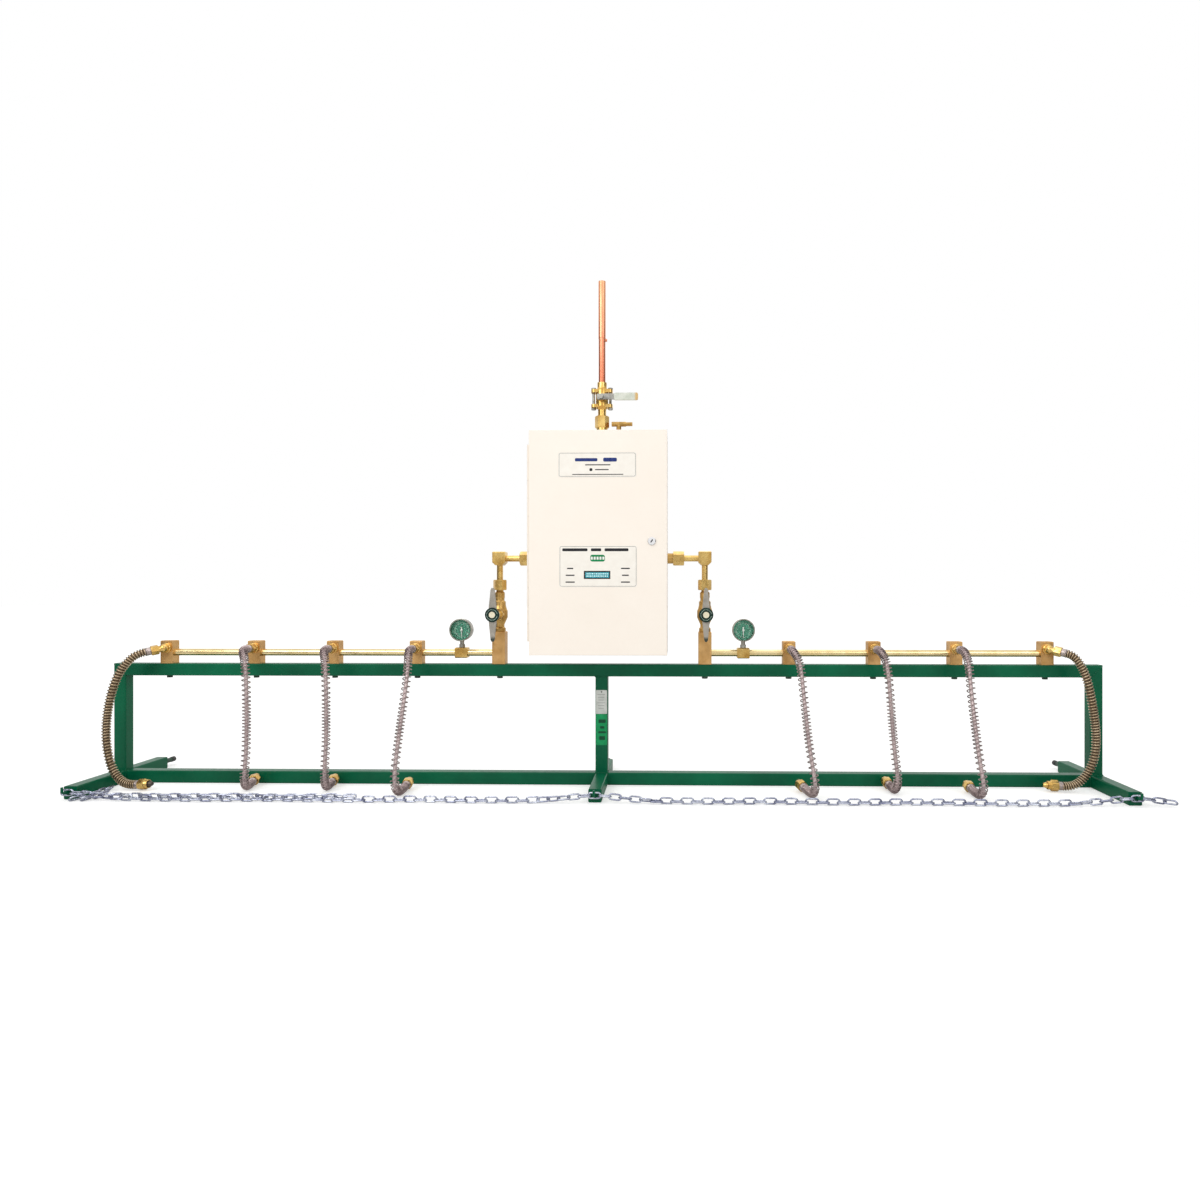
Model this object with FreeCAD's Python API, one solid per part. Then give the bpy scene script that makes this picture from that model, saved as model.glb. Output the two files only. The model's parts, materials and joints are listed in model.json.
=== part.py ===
"""Oxygen manifold: a floor rack with a 4 + 4 station high-pressure header.

Millimetres, +X to the right, +Y to the wall behind, +Z up. The origin is on the
floor, under the middle of the centre foot. Each sub-part goes to parts/NODE.step.
"""

import FreeCAD, Part
import math
import os

from FreeCAD import Rotation, Vector

X_AXIS = Vector(1, 0, 0)
Y_AXIS = Vector(0, 1, 0)
Z_AXIS = Vector(0, 0, 1)
FRONT = Vector(0, -1, 0)

# Clearances
SOCKET_GAP = 0.05          # a pipe or stud in its socket
RUNNING_GAP = 0.06         # a shaft that turns in its bore
SEAT_GAP = 0.3             # loose pieces that rest on each other

# Rack of square tube
RACK_LENGTH = 3048.0
RACK_HEIGHT = 372.0
TUBE = 38.1
TUBE_WALL = 3.0
TUBE_RADIUS = 4.0
FOOT_FRONT = 219.0
FOOT_REAR = 184.0
END_PLATE = 3.0
STUD_RADIUS = 7.5
STUD_LENGTH = 60.0
TIP_RADIUS = 8.5
TIP_LENGTH = 18.0
TIP_BORE_DEPTH = 12.0

# Chain and its hooks
HOOK_ROD_RADIUS = 3.5
HOOK_HEIGHT = 24.0
HOOK_REACH = 24.0
HOOK_BEND = 8.0
HOOK_TIP = 10.0
LINK_BAR = 5.2
LINK_HOLE_WIDTH = 10.0
LINK_PITCH = 29.0
LINK_SLACK = 0.8
LINK_END_TURNS = 3
CHAIN_STANDOFF = 12.0
TAIL_LINKS = 3

# Header and stations
FIRST_STATION = 576.0
SECOND_STATION = 835.0
THIRD_STATION = 1083.0
FOURTH_STATION = 1358.0
BLOCK_WIDTH = 38.0
BLOCK_DEPTH = 34.0
BLOCK_HEIGHT = 71.0
BLOCK_CHAMFER = 2.0
HEADER_HEIGHT = 34.0
HEADER_RADIUS = 10.65
SOCKET_DEPTH = 12.0
OUTLET_HEIGHT = 48.0
BOLT_RADIUS = 4.75
BOLT_IN_BLOCK = 16.0
BOLT_NUT_AF = 16.0
BOLT_NUT_HEIGHT = 7.0
BOLT_TIP_GAP = 1.0

# Outlet adapters and pigtail fittings
FLANGE_RADIUS = 16.0
FLANGE_LENGTH = 8.0
SPIGOT_RADIUS = 8.0
SPIGOT_LENGTH = 8.0
NOSE_RADIUS = 10.0
NOSE_LENGTH = 12.0
TOP_NUT_AF = 27.0
TOP_NUT_LENGTH = 20.0
COLLAR_LENGTH = 8.0
SLEEVE_RADIUS = 12.0
SLEEVE_LENGTH = 13.0
END_BALL_RADIUS = 13.0
END_NUT_START = 14.0
END_OUTLET_DIRECTION = Vector(0.76, -0.62, -0.2)
HOSE_RADIUS = 13.0
CYLINDER_NUT_AF = 29.0
CYLINDER_NUT_HEX = 20.0
CYLINDER_NUT_ROUND = 10.0
CYLINDER_NUT_ROUND_RADIUS = 12.5
NIPPLE_RADIUS = 9.0
NIPPLE_NOSE = 12.0

# Pressure gauges
GAUGE_X = 436.0
TEE_WIDTH = 38.0
TEE_HEIGHT = 32.0
GAUGE_RADIUS = 35.0
GAUGE_RISE = 105.0
GAUGE_FRONT = 22.0
GAUGE_BACK = 12.0
GAUGE_RIM = 3.5
GAUGE_CAVITY = 18.0
GAUGE_STEM_RADIUS = 6.5
GAUGE_HEX_AF = 16.0
GAUGE_HEX_HEIGHT = 10.0
DIAL_THICKNESS = 1.0
LENS_THICKNESS = 2.0
LENS_INSET = 3.0
POINTER_LENGTH = 25.0
POINTER_TAIL = 9.0
POINTER_THICKNESS = 0.8
POINTER_LIFT = 3.0
ARBOR_RADIUS = 1.5
ARBOR_DEPTH = 6.0

# Master valves and risers
VALVE_X = 318.0
VALVE_BLOCK_WIDTH = 40.0
VALVE_BLOCK_HEIGHT = 100.0
VALVE_HEIGHT = 128.0
VALVE_NECK_RADIUS = 15.0
VALVE_BULGE_RADIUS = 24.0
VALVE_CENTRE = 154.0
VALVE_COLLAR_STEP = 3.0
VALVE_WAIST_STEP = 1.0
VALVE_LAND = 20.0
VALVE_CONE = 4.0
VALVE_TOP_LAND = 22.0
BONNET_AF = 34.0
BONNET_ROOT = 25.0
BONNET_HEX_LENGTH = 16.0
BONNET_RADIUS = 13.0
BONNET_LENGTH = 55.0
STEM_RADIUS = 6.0
STEM_DEPTH = 40.0
STEM_ROOM = 4.0
HANDLE_FRONT = 104.0
HANDLE_THICKNESS = 9.0
HANDLE_HALF = 80.0
HANDLE_ROOT_WIDTH = 26.0
HANDLE_TIP_WIDTH = 11.0
HANDLE_HUB_RADIUS = 17.0
HANDLE_HUB_LENGTH = 20.0
CAP_RADIUS = 21.5
CAP_LENGTH = 6.0
CAP_DISH_RADIUS = 10.0
CAP_DISH_DEPTH = 1.5
RISER_NUT_AF = 36.0
RISER_NUT_HEIGHT = 32.0
RISER_RADIUS = 9.5
RISER_RUN = 45.0
ELBOW_WIDTH = 40.0
ELBOW_HEIGHT = 42.0
ELBOW_DEPTH = 38.0
ELBOW_CHAMFER = 9.0
ELBOW_SOCKET = 10.0
INLET_NUT_AF = 38.0
INLET_NUT_LENGTH = 34.0
INLET_ADAPTER_RADIUS = 16.0
INLET_ADAPTER_LENGTH = 17.0

# Cabinet
CABINET_WIDTH = 406.0
CABINET_BOTTOM = 408.0
CABINET_HEIGHT = 661.0
CABINET_FRONT = 139.0
CABINET_BACK = 64.0
SHEET = 2.0
DOOR_RETURN = 18.0
DOOR_GAP = 1.0
FLANGE_WIDTH = 17.0
HINGE_RADIUS = 4.0
HINGE_PIN_RADIUS = 2.0
HINGE_KNUCKLES = 11
HINGE_MARGIN = 40.0
KNUCKLE_GAP = 0.4
LEAF = 1.2
DISPLAY_CENTRE = (-2.0, 644.0)
DISPLAY_SIZE = (78.0, 24.0)
WINDOW_LIP = 6.0
WINDOW_THICKNESS = 2.0
BOARD_SIZE = (150.0, 96.0)
BOARD_THICKNESS = 14.0
LOCK_X = 158.0
LOCK_Z = 743.0
LOCK_RADIUS = 9.0
LOCK_HEAD_RADIUS = 12.0
LOCK_HEAD = 5.0
LOCK_SLOT = (10.0, 1.8, 2.5)
CAM_LENGTH = 40.0
CAM_WIDTH = 14.0
CAM_THICKNESS = 2.5
CAM_GAP = 2.2

# Inside the cabinet
PRIMARY_X = 125.0
PRIMARY_SIZE = 60.0
PRIMARY_DEPTH = 50.0
PRIMARY_BONNET_RADIUS = 27.0
PRIMARY_BONNET_HEIGHT = 62.0
LINE_REGULATOR_HEIGHT = 860.0
LINE_REGULATOR_SIZE = 66.0
LINE_BONNET_RADIUS = 28.0
LINE_BONNET_LENGTH = 16.0
PIPE_RADIUS = 8.0
BRANCH_DROP = 40.0
BRANCH_RADIUS = 5.5

# Outlet on top of the cabinet
OUTLET_NUT_AF = 38.0
OUTLET_NUT_TOP = 1138.0
OUTLET_NUT_HEIGHT = 36.0
OUTLET_BOSS_RADIUS = 17.0
VALVE_TOP = 1242.0
BALL_BODY_RADIUS = 19.0
BALL_END_RADIUS = 12.5
BALL_FLANGE_HALF = 33.0
BALL_FLANGE_DEPTH = 30.0
BALL_FLANGE_THICKNESS = 10.0
BALL_CENTRE = 1192.0
BALL_HALF = 28.0
BALL_BOLT_OFFSET = 26.0
BALL_BOLT_RADIUS = 4.0
BALL_BOLT_AF = 13.0
BALL_BOLT_HEAD = 6.0
BALL_BOSS_RADIUS = 11.0
BALL_BOSS_LENGTH = 30.0
LEVER_REACH = 113.0
LEVER_TAIL = 13.0
LEVER_WIDTH = 18.0
LEVER_THICKNESS = 4.0
LEVER_STEM_RADIUS = 5.0
LEVER_STEM_DEPTH = 12.0
LEVER_NUT_AF = 14.0
LEVER_NUT_HEIGHT = 6.0
SLEEVE_START = 40.0
LEVER_SLEEVE_WALL = 2.0
LEVER_TIP_WALL = 2.0
OUTLET_RADIUS = 11.1
OUTLET_LOWER_RADIUS = 10.4
OUTLET_WALL = 1.3
OUTLET_TOP = 1556.0
OUTLET_IN_VALVE = 14.0
PORT_HEIGHT = 1374.0
PORT_RADIUS = 4.5
PORT_LENGTH = 6.0
PORT_MARGIN = 1.0
VENT_X = 52.0
VENT_RISE = 45.0
VENT_RADIUS = 7.5
VENT_HALF = 22.0
VENT_TIP_LENGTH = 20.0
VENT_WALL = 1.5

# Values that follow from the ones above
TUBE_HALF = TUBE / 2
RAIL_UNDERSIDE = RACK_HEIGHT - TUBE
FOOT_X = RACK_LENGTH / 2 - TUBE_HALF
HEADER_Z = RACK_HEIGHT + HEADER_HEIGHT
OUTLET_Z = RACK_HEIGHT + OUTLET_HEIGHT
BLOCK_FRONT = BLOCK_DEPTH / 2
CABINET_HALF = CABINET_WIDTH / 2
CABINET_TOP = CABINET_BOTTOM + CABINET_HEIGHT
BOX_FRONT = CABINET_FRONT - DOOR_RETURN - DOOR_GAP
CHAIN_Y = -(FOOT_FRONT + END_PLATE + CHAIN_STANDOFF)
LINK_WIDTH = LINK_HOLE_WIDTH + 2 * LINK_BAR
LINK_REST = (LINK_WIDTH + LINK_BAR) / 2 * math.sin(math.radians(45)) + 2 * SEAT_GAP
VALVE_Z = RACK_HEIGHT + VALVE_CENTRE
VALVE_BLOCK_TOP = RACK_HEIGHT + VALVE_BLOCK_HEIGHT
VALVE_BODY_TOP = VALVE_BLOCK_TOP + VALVE_HEIGHT
INLET_HEIGHT = VALVE_BODY_TOP + RISER_NUT_HEIGHT + RISER_RUN + ELBOW_HEIGHT / 2
STATIONS = (FIRST_STATION, SECOND_STATION, THIRD_STATION, FOURTH_STATION)
SIDES = (("left", -1), ("right", 1))

# Pigtail routes, from the top sleeve to the end sleeve, chosen by hand.
# Number 1 is nearest the cabinet, number 4 is the end station.
ROUTES = {
    "left_pigtail_1": [
        (-576, -58, 420), (-576, -84, 420), (-570, -105, 394), (-568, -117, 358),
        (-569, -133, 303), (-573, -152, 235), (-577, -170, 165), (-580, -183, 110),
        (-581, -190, 72), (-579, -196, 38), (-576, -176, 14), (-575, -142, 13.5),
        (-576, -112, 17),
    ],
    "left_pigtail_2": [
        (-835, -58, 420), (-835, -84, 420), (-822, -104, 396), (-817, -111, 362),
        (-813, -115, 303), (-810, -121, 222), (-808, -126, 150), (-809, -130, 104),
        (-809, -134, 68), (-808, -137, 38), (-810, -121, 15), (-812, -98, 14),
        (-814, -79, 17),
    ],
    "left_pigtail_3": [
        (-1083, -58, 420), (-1083, -84, 420), (-1065, -104, 396), (-1058, -111, 362),
        (-1053, -115, 301), (-1049, -121, 220), (-1047, -126, 149), (-1047, -130, 103),
        (-1048, -134, 67), (-1048, -137, 37), (-1051, -121, 14.5), (-1054, -98, 14),
        (-1057, -79, 17),
    ],
    "left_pigtail_4": [
        (-1393.7, -60.1, 410.6), (-1412.7, -75.6, 405.6), (-1433, -86, 384), (-1453, -92, 354),
        (-1470, -95, 313), (-1483, -96, 262), (-1491, -97, 205), (-1491, -98, 146),
        (-1482, -99, 93), (-1465, -102, 52), (-1441, -105, 26), (-1414, -109, 15),
        (-1389, -112, 17),
    ],
    "right_pigtail_1": [
        (576, -58, 420), (576, -84, 420), (591, -105, 395), (597, -117, 360),
        (600, -133, 306), (604, -152, 240), (609, -170, 170), (615, -183, 115),
        (621, -190, 76), (625, -196, 41), (622, -178, 15), (615, -145, 13.5),
        (607, -115, 17),
    ],
    "right_pigtail_2": [
        (835, -58, 420), (835, -84, 420), (846, -104, 397), (851, -112, 364),
        (855, -117, 306), (859, -122, 228), (864, -127, 154), (868, -131, 104),
        (872, -134, 68), (873, -137, 38), (870, -121, 15), (868, -98, 14),
        (866, -79, 17),
    ],
    "right_pigtail_3": [
        (1083, -58, 420), (1083, -84, 420), (1087, -105, 395), (1087, -117, 360),
        (1085, -133, 308), (1086, -152, 240), (1088, -170, 170), (1091, -184, 113),
        (1095, -192, 75), (1098, -198, 41), (1096, -179, 15), (1094, -146, 13.5),
        (1094, -115, 17),
    ],
    "right_pigtail_4": [
        (1393.7, -60.1, 410.6), (1408.9, -72.5, 406.6), (1424, -85, 379), (1437, -90, 345),
        (1448, -91, 301), (1458, -90, 247), (1466, -89, 190), (1468, -87, 137),
        (1461, -84, 90), (1446, -81, 56), (1425, -79, 31), (1399, -77, 17),
        (1375, -75, 18),
    ],
}

parts = {}


def add(name, *solids):
    """Keep the solids of one node; several solids stay separate in a compound."""
    parts[name] = solids[0] if len(solids) == 1 else Part.makeCompound(list(solids))


def box(x0, x1, y0, y1, z0, z1):
    """A box between two values on each axis."""
    return Part.makeBox(x1 - x0, y1 - y0, z1 - z0, Vector(x0, y0, z0))


def rod(start, axis, radius, length):
    """A solid cylinder from a point along an axis."""
    return Part.makeCylinder(radius, length, start, axis)


def aligned(shape, point, axis):
    """A shape built about +Z, turned so that +Z becomes the axis, and put at the point."""
    shape.Placement = FreeCAD.Placement(point, Rotation(Z_AXIS, axis))
    return shape


def turned(profile, point, axis):
    """A solid of revolution from (radius, station) corners, along the axis from the point."""
    outline = [Vector(radius, 0, station) for radius, station in profile]
    face = Part.Face(Part.makePolygon(outline + outline[:1]))
    return aligned(face.revolve(Vector(0, 0, 0), Z_AXIS, 360), point, axis)


def hexagon(across_flats, length, point, axis, chamfer=0.0):
    """A hexagonal bar; its corners are turned down by the chamfer at both ends."""
    corner = across_flats / math.sqrt(3)
    corners = []
    for i in range(7):
        angle = math.radians(60 * i)
        corners.append(Vector(corner * math.cos(angle), corner * math.sin(angle), 0))
    bar = Part.Face(Part.makePolygon(corners)).extrude(Vector(0, 0, length))
    if chamfer:
        rim = corner - chamfer
        cone = turned([(0, 0), (rim, 0), (corner, chamfer), (corner, length - chamfer),
                       (rim, length), (0, length)], Vector(0, 0, 0), Z_AXIS)
        bar = bar.common(cone)
    return aligned(bar, point, axis)


def plate(outline, normal_start, thickness):
    """A plate whose (x, z) outline lies across Y, from normal_start towards the back."""
    corners = [Vector(x, normal_start, z) for x, z in outline]
    face = Part.Face(Part.makePolygon(corners + corners[:1]))
    return face.extrude(Y_AXIS * thickness)


def rounded_bar(width, depth, radius, length):
    """A bar along +Z with rounded vertical edges, centred on the axis."""
    bar = Part.makeBox(width, depth, length, Vector(-width / 2, -depth / 2, 0))
    upright = [edge for edge in bar.Edges if abs(edge.tangentAt(0).z) > 0.9]
    return bar.makeFillet(radius, upright)


def square_tube(start, axis, length):
    """A length of the rack's square tube."""
    inner = TUBE - 2 * TUBE_WALL
    outside = rounded_bar(TUBE, TUBE, TUBE_RADIUS, length)
    inside = rounded_bar(inner, inner, TUBE_RADIUS - TUBE_WALL, length)
    return aligned(outside.cut(inside), start, axis)


def mounting_positions():
    """X of everything that is bolted down on the top rail."""
    return [side * x for _, side in SIDES for x in STATIONS + (VALVE_X,)]


def rail_bolt_hole(x):
    """The hole for one mounting bolt, through the rail and into the block on it."""
    return rod(Vector(x, 0, RAIL_UNDERSIDE - 1), Z_AXIS, BOLT_RADIUS + SOCKET_GAP,
               TUBE + 1 + BOLT_IN_BLOCK)


def build_rack():
    """The welded rack: mitred top corners, feet that run front to back, low rails."""
    half = RACK_LENGTH / 2
    rail = square_tube(Vector(-half, 0, RACK_HEIGHT - TUBE_HALF), X_AXIS, RACK_LENGTH)
    trapezoid = [(-half, RACK_HEIGHT), (half, RACK_HEIGHT),
                 (half - TUBE, RAIL_UNDERSIDE), (-half + TUBE, RAIL_UNDERSIDE)]
    rail = rail.common(plate(trapezoid, -TUBE, 2 * TUBE))
    for x in mounting_positions():
        rail = rail.cut(rail_bolt_hole(x))
    add("top_rail", rail)

    posts = []
    for _, side in SIDES:
        post = square_tube(Vector(side * FOOT_X, 0, TUBE), Z_AXIS, RACK_HEIGHT - TUBE)
        mitre = [(side * half, TUBE), (side * half, RACK_HEIGHT),
                 (side * (half - TUBE), RAIL_UNDERSIDE), (side * (half - TUBE), TUBE)]
        posts.append(post.common(plate(mitre, -TUBE, 2 * TUBE)))
    add("end_posts", *posts)
    add("center_post", square_tube(Vector(0, 0, TUBE), Z_AXIS, RAIL_UNDERSIDE - TUBE))

    foot_length = FOOT_FRONT + FOOT_REAR
    feet = []
    plates = []
    studs = []
    tips = []
    for x in (-FOOT_X, 0, FOOT_X):
        feet.append(square_tube(Vector(x, -FOOT_FRONT, TUBE_HALF), Y_AXIS, foot_length))
        plates.append(end_plate(x, -FOOT_FRONT - END_PLATE))
        rear = end_plate(x, FOOT_REAR)
        plates.append(rear.cut(rod(Vector(x, FOOT_REAR, TUBE_HALF), Y_AXIS,
                                   STUD_RADIUS + SOCKET_GAP, END_PLATE)))
        studs.append(rod(Vector(x, FOOT_REAR, TUBE_HALF), Y_AXIS, STUD_RADIUS,
                         END_PLATE + STUD_LENGTH))
        tips.append(stud_tip(x))
    add("feet", *feet)
    add("foot_end_plates", *plates)
    add("anchor_studs", *studs)
    add("stud_tips", *tips)

    span = FOOT_X - TUBE
    add("bottom_rails", *[
        square_tube(Vector(x, 0, TUBE_HALF), X_AXIS, span)
        for x in (-FOOT_X + TUBE_HALF, TUBE_HALF)
    ])


def end_plate(x, y):
    """The plate that closes one end of a foot."""
    blank = rounded_bar(TUBE, TUBE, TUBE_RADIUS, END_PLATE)
    return aligned(blank, Vector(x, y, TUBE_HALF), Y_AXIS)


def stud_tip(x):
    """The soft cap on the end of a rear stud."""
    stud_end = FOOT_REAR + END_PLATE + STUD_LENGTH
    start = stud_end - TIP_BORE_DEPTH
    bore = STUD_RADIUS + SOCKET_GAP
    return turned([(bore, 0), (TIP_RADIUS, 0), (TIP_RADIUS, TIP_LENGTH - 2),
                   (TIP_RADIUS - 2, TIP_LENGTH), (0, TIP_LENGTH), (0, TIP_BORE_DEPTH),
                   (bore, TIP_BORE_DEPTH)], Vector(x, start, TUBE_HALF), Y_AXIS)


def chain_hook(x):
    """A bent rod on the front of a foot: out, then up."""
    front = -FOOT_FRONT - END_PLATE
    bend_start = Vector(x, front - HOOK_REACH, HOOK_HEIGHT)
    bend_end = bend_start + Vector(0, -HOOK_BEND, HOOK_BEND)
    middle = bend_start + Vector(0, -HOOK_BEND * math.sin(math.radians(45)),
                                 HOOK_BEND * (1 - math.cos(math.radians(45))))
    path = Part.Wire([
        Part.LineSegment(Vector(x, front, HOOK_HEIGHT), bend_start).toShape(),
        Part.Arc(bend_start, middle, bend_end).toShape(),
        Part.LineSegment(bend_end, bend_end + Z_AXIS * HOOK_TIP).toShape(),
    ])
    section = Part.Wire(Part.makeCircle(HOOK_ROD_RADIUS, Vector(x, front, HOOK_HEIGHT), Y_AXIS))
    return path.makePipeShell([section], True, False)


def chain_link(pitch):
    """One link, flat in XY and along X: a bar bent into a long ring with straight sides."""
    end_flat = math.cos(math.pi / LINK_END_TURNS / 2)

    def ring(half_width, half_length):
        corners = []
        straight = half_length - half_width
        for end in (1, -1):
            for i in range(LINK_END_TURNS + 1):
                angle = math.pi * (i / LINK_END_TURNS - 0.5)
                reach = half_width * math.cos(angle) / end_flat
                corners.append(Vector(end * (straight + reach),
                                      end * half_width * math.sin(angle), -LINK_BAR / 2))
        return Part.makePolygon(corners + corners[:1])

    inner_half_length = (pitch + LINK_SLACK) / 2
    hole = ring(LINK_HOLE_WIDTH / 2, inner_half_length)
    rim = ring(LINK_WIDTH / 2, inner_half_length + LINK_BAR)
    return Part.Face([rim, hole]).extrude(Vector(0, 0, LINK_BAR))


def hanging_height():
    """Height of a link's middle where its upper bar rests on the hook's rod."""
    return HOOK_HEIGHT + HOOK_ROD_RADIUS + SEAT_GAP - LINK_HOLE_WIDTH / 2


def chain_strand(route, links, first_roll, twist_at):
    """Links along a smooth route; each is a quarter turn from the one before it."""
    curve = Part.BSplineCurve()
    curve.interpolate([Vector(*point) for point in route])
    joints = curve.toShape().discretize(Number=links + 1)
    pitch = curve.length() / links
    strand = []
    for i in range(links):
        along = (joints[i + 1] - joints[i]).normalize()
        across = Z_AXIS.cross(along).normalize()
        middle = (joints[i] + joints[i + 1]) * 0.5
        lying = Rotation(along, across, along.cross(across), "XYZ")
        roll = first_roll + 90 * (i % 2) + twist_at(middle)
        link = chain_link(pitch)
        link.Placement = FreeCAD.Placement(middle, lying.multiply(Rotation(X_AXIS, roll)))
        strand.append(link)
    return strand


def build_chain():
    """The restraint chain: it hangs on the three hooks and lies slack on the floor."""
    add("chain_hooks", *[chain_hook(x) for x in (-FOOT_X, 0, FOOT_X)])
    hang = hanging_height()

    def twist_at(point):
        """Links lie at 45 degrees on the floor and stand straight at the hooks."""
        rise = (point.z - LINK_REST) / (hang - LINK_REST)
        return 45 * (1 - max(0.0, min(1.0, rise)))

    half_link = LINK_PITCH / 2
    links = []
    for side in (-1, 1):
        outer = side * FOOT_X
        route = [
            (outer + side * half_link, CHAIN_Y, hang),
            (outer - side * half_link, CHAIN_Y, hang),
            (outer - side * 70, CHAIN_Y - 1, LINK_REST + 8),
            (outer - side * 130, CHAIN_Y - 3, LINK_REST + 3),
            (outer - side * 210, CHAIN_Y - 6, LINK_REST),
            (outer - side * 380, CHAIN_Y - 9, LINK_REST),
            (outer - side * 590, CHAIN_Y - 3, LINK_REST),
            (outer - side * 810, CHAIN_Y - 8, LINK_REST),
            (outer - side * 1030, CHAIN_Y - 2, LINK_REST),
            (side * 330, CHAIN_Y - 7, LINK_REST),
            (side * 210, CHAIN_Y - 5, LINK_REST),
            (side * 130, CHAIN_Y - 3, LINK_REST + 3),
            (side * 70, CHAIN_Y - 1, LINK_REST + 8),
            (side * half_link, CHAIN_Y, hang),
            (-side * half_link, CHAIN_Y, hang),
        ]
        pairs = round((FOOT_X + 2 * half_link) / LINK_PITCH / 2)
        strand = chain_strand(route, 2 * pairs + 1, 90, twist_at)
        links += strand if side < 0 else strand[:-1]
    tail_start = FOOT_X + half_link
    tail = [
        (tail_start, CHAIN_Y, hang),
        (tail_start + LINK_PITCH, CHAIN_Y - 0.5, LINK_REST + 10),
        (tail_start + 2 * LINK_PITCH, CHAIN_Y - 2, LINK_REST + 6),
        (tail_start + TAIL_LINKS * LINK_PITCH, CHAIN_Y - 5, LINK_REST + 3),
    ]
    links += chain_strand(tail, TAIL_LINKS, 0, twist_at)
    add("restraint_chain", *links)


def station_block(x, side, outer):
    """A brass block on the rail, with sockets for the header and a port in front."""
    half = BLOCK_WIDTH / 2
    block = box(x - half, x + half, -BLOCK_FRONT, BLOCK_FRONT,
                RACK_HEIGHT, RACK_HEIGHT + BLOCK_HEIGHT)
    block = block.makeChamfer(BLOCK_CHAMFER, top_edges(block, RACK_HEIGHT + BLOCK_HEIGHT))
    block = block.cut(rail_bolt_hole(x))
    for direction in ((-side,) if outer else (-1, 1)):
        mouth = Vector(x + direction * (half - SOCKET_DEPTH), 0, HEADER_Z)
        block = block.cut(rod(mouth, X_AXIS * direction, HEADER_RADIUS + SOCKET_GAP,
                              SOCKET_DEPTH + 1))
    port = Vector(x, -BLOCK_FRONT + SPIGOT_LENGTH + SOCKET_GAP, OUTLET_Z)
    return block.cut(rod(port, FRONT, SPIGOT_RADIUS + SOCKET_GAP, SPIGOT_LENGTH + 1))


def top_edges(shape, height):
    """The edges of a shape that lie at one height."""
    return [edge for edge in shape.Edges
            if all(abs(vertex.Z - height) < 0.01 for vertex in edge.Vertexes)]


def outlet_direction(side, outer):
    """The way a pigtail leaves its station: forwards, or outwards at the end station."""
    if not outer:
        return FRONT
    direction = Vector(side * END_OUTLET_DIRECTION.x, END_OUTLET_DIRECTION.y,
                       END_OUTLET_DIRECTION.z)
    return direction.normalize()


def nut_start(x, side, outer):
    """Where the pigtail's upper nut begins."""
    face = Vector(x, -BLOCK_FRONT - FLANGE_LENGTH, OUTLET_Z)
    if not outer:
        return face
    centre = face + FRONT * (END_BALL_RADIUS - FLANGE_LENGTH + 1)
    return centre + outlet_direction(side, outer) * END_NUT_START


def outlet_adapter(x, side, outer):
    """The turned adapter in a station's port; the end stations have an angled one."""
    port = Vector(x, -BLOCK_FRONT + SPIGOT_LENGTH, OUTLET_Z)
    adapter = turned([(0, 0), (SPIGOT_RADIUS, 0), (SPIGOT_RADIUS, SPIGOT_LENGTH),
                      (FLANGE_RADIUS, SPIGOT_LENGTH),
                      (FLANGE_RADIUS, SPIGOT_LENGTH + FLANGE_LENGTH - 2),
                      (FLANGE_RADIUS - 2, SPIGOT_LENGTH + FLANGE_LENGTH),
                      (0, SPIGOT_LENGTH + FLANGE_LENGTH)], port, FRONT)
    direction = outlet_direction(side, outer)
    start = nut_start(x, side, outer)
    nose_root = 0.0
    if outer:
        centre = start - direction * END_NUT_START
        adapter = adapter.fuse(Part.makeSphere(END_BALL_RADIUS, centre))
        nose_root = END_NUT_START
    nose = rod(start - direction * nose_root, direction, NOSE_RADIUS, nose_root + NOSE_LENGTH)
    return adapter.fuse(nose).removeSplitter()


def sleeve(start, direction):
    """A crimped sleeve with the collar that its nut draws up; the hose begins at its end."""
    return turned([(0, 0), (NOSE_RADIUS, 0), (NOSE_RADIUS, COLLAR_LENGTH),
                   (SLEEVE_RADIUS, COLLAR_LENGTH + 1),
                   (SLEEVE_RADIUS, COLLAR_LENGTH + SLEEVE_LENGTH),
                   (0, COLLAR_LENGTH + SLEEVE_LENGTH)], start, direction)


def build_stations():
    """Blocks, outlet adapters, bolts and the header pipe pieces between the blocks."""
    blocks = []
    adapters = []
    pipes = []
    for _, side in SIDES:
        for i, station in enumerate(STATIONS):
            outer = i == len(STATIONS) - 1
            blocks.append(station_block(side * station, side, outer))
            adapters.append(outlet_adapter(side * station, side, outer))
        ends = [(x - BLOCK_WIDTH / 2, x + BLOCK_WIDTH / 2) for x in STATIONS]
        ends.insert(0, (GAUGE_X - TEE_WIDTH / 2, GAUGE_X + TEE_WIDTH / 2))
        ends.insert(0, (None, VALVE_X + VALVE_BLOCK_WIDTH / 2))
        for near, far in zip(ends, ends[1:]):
            start = near[1] - SOCKET_DEPTH + SOCKET_GAP
            length = far[0] + SOCKET_DEPTH - SOCKET_GAP - start
            pipes.append(rod(Vector(side * start, 0, HEADER_Z), X_AXIS * side,
                             HEADER_RADIUS, length))
    add("station_blocks", *blocks)
    add("outlet_adapters", *adapters)
    add("header_pipes", *pipes)

    bolts = []
    for x in mounting_positions():
        head = hexagon(BOLT_NUT_AF, BOLT_NUT_HEIGHT,
                       Vector(x, 0, RAIL_UNDERSIDE - BOLT_NUT_HEIGHT), Z_AXIS, 1.0)
        shank = rod(Vector(x, 0, RAIL_UNDERSIDE - BOLT_NUT_HEIGHT / 2), Z_AXIS, BOLT_RADIUS,
                    BOLT_NUT_HEIGHT / 2 + TUBE + BOLT_IN_BLOCK - BOLT_TIP_GAP)
        bolts.append(head.fuse(shank))
    add("station_bolts", *bolts)


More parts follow.
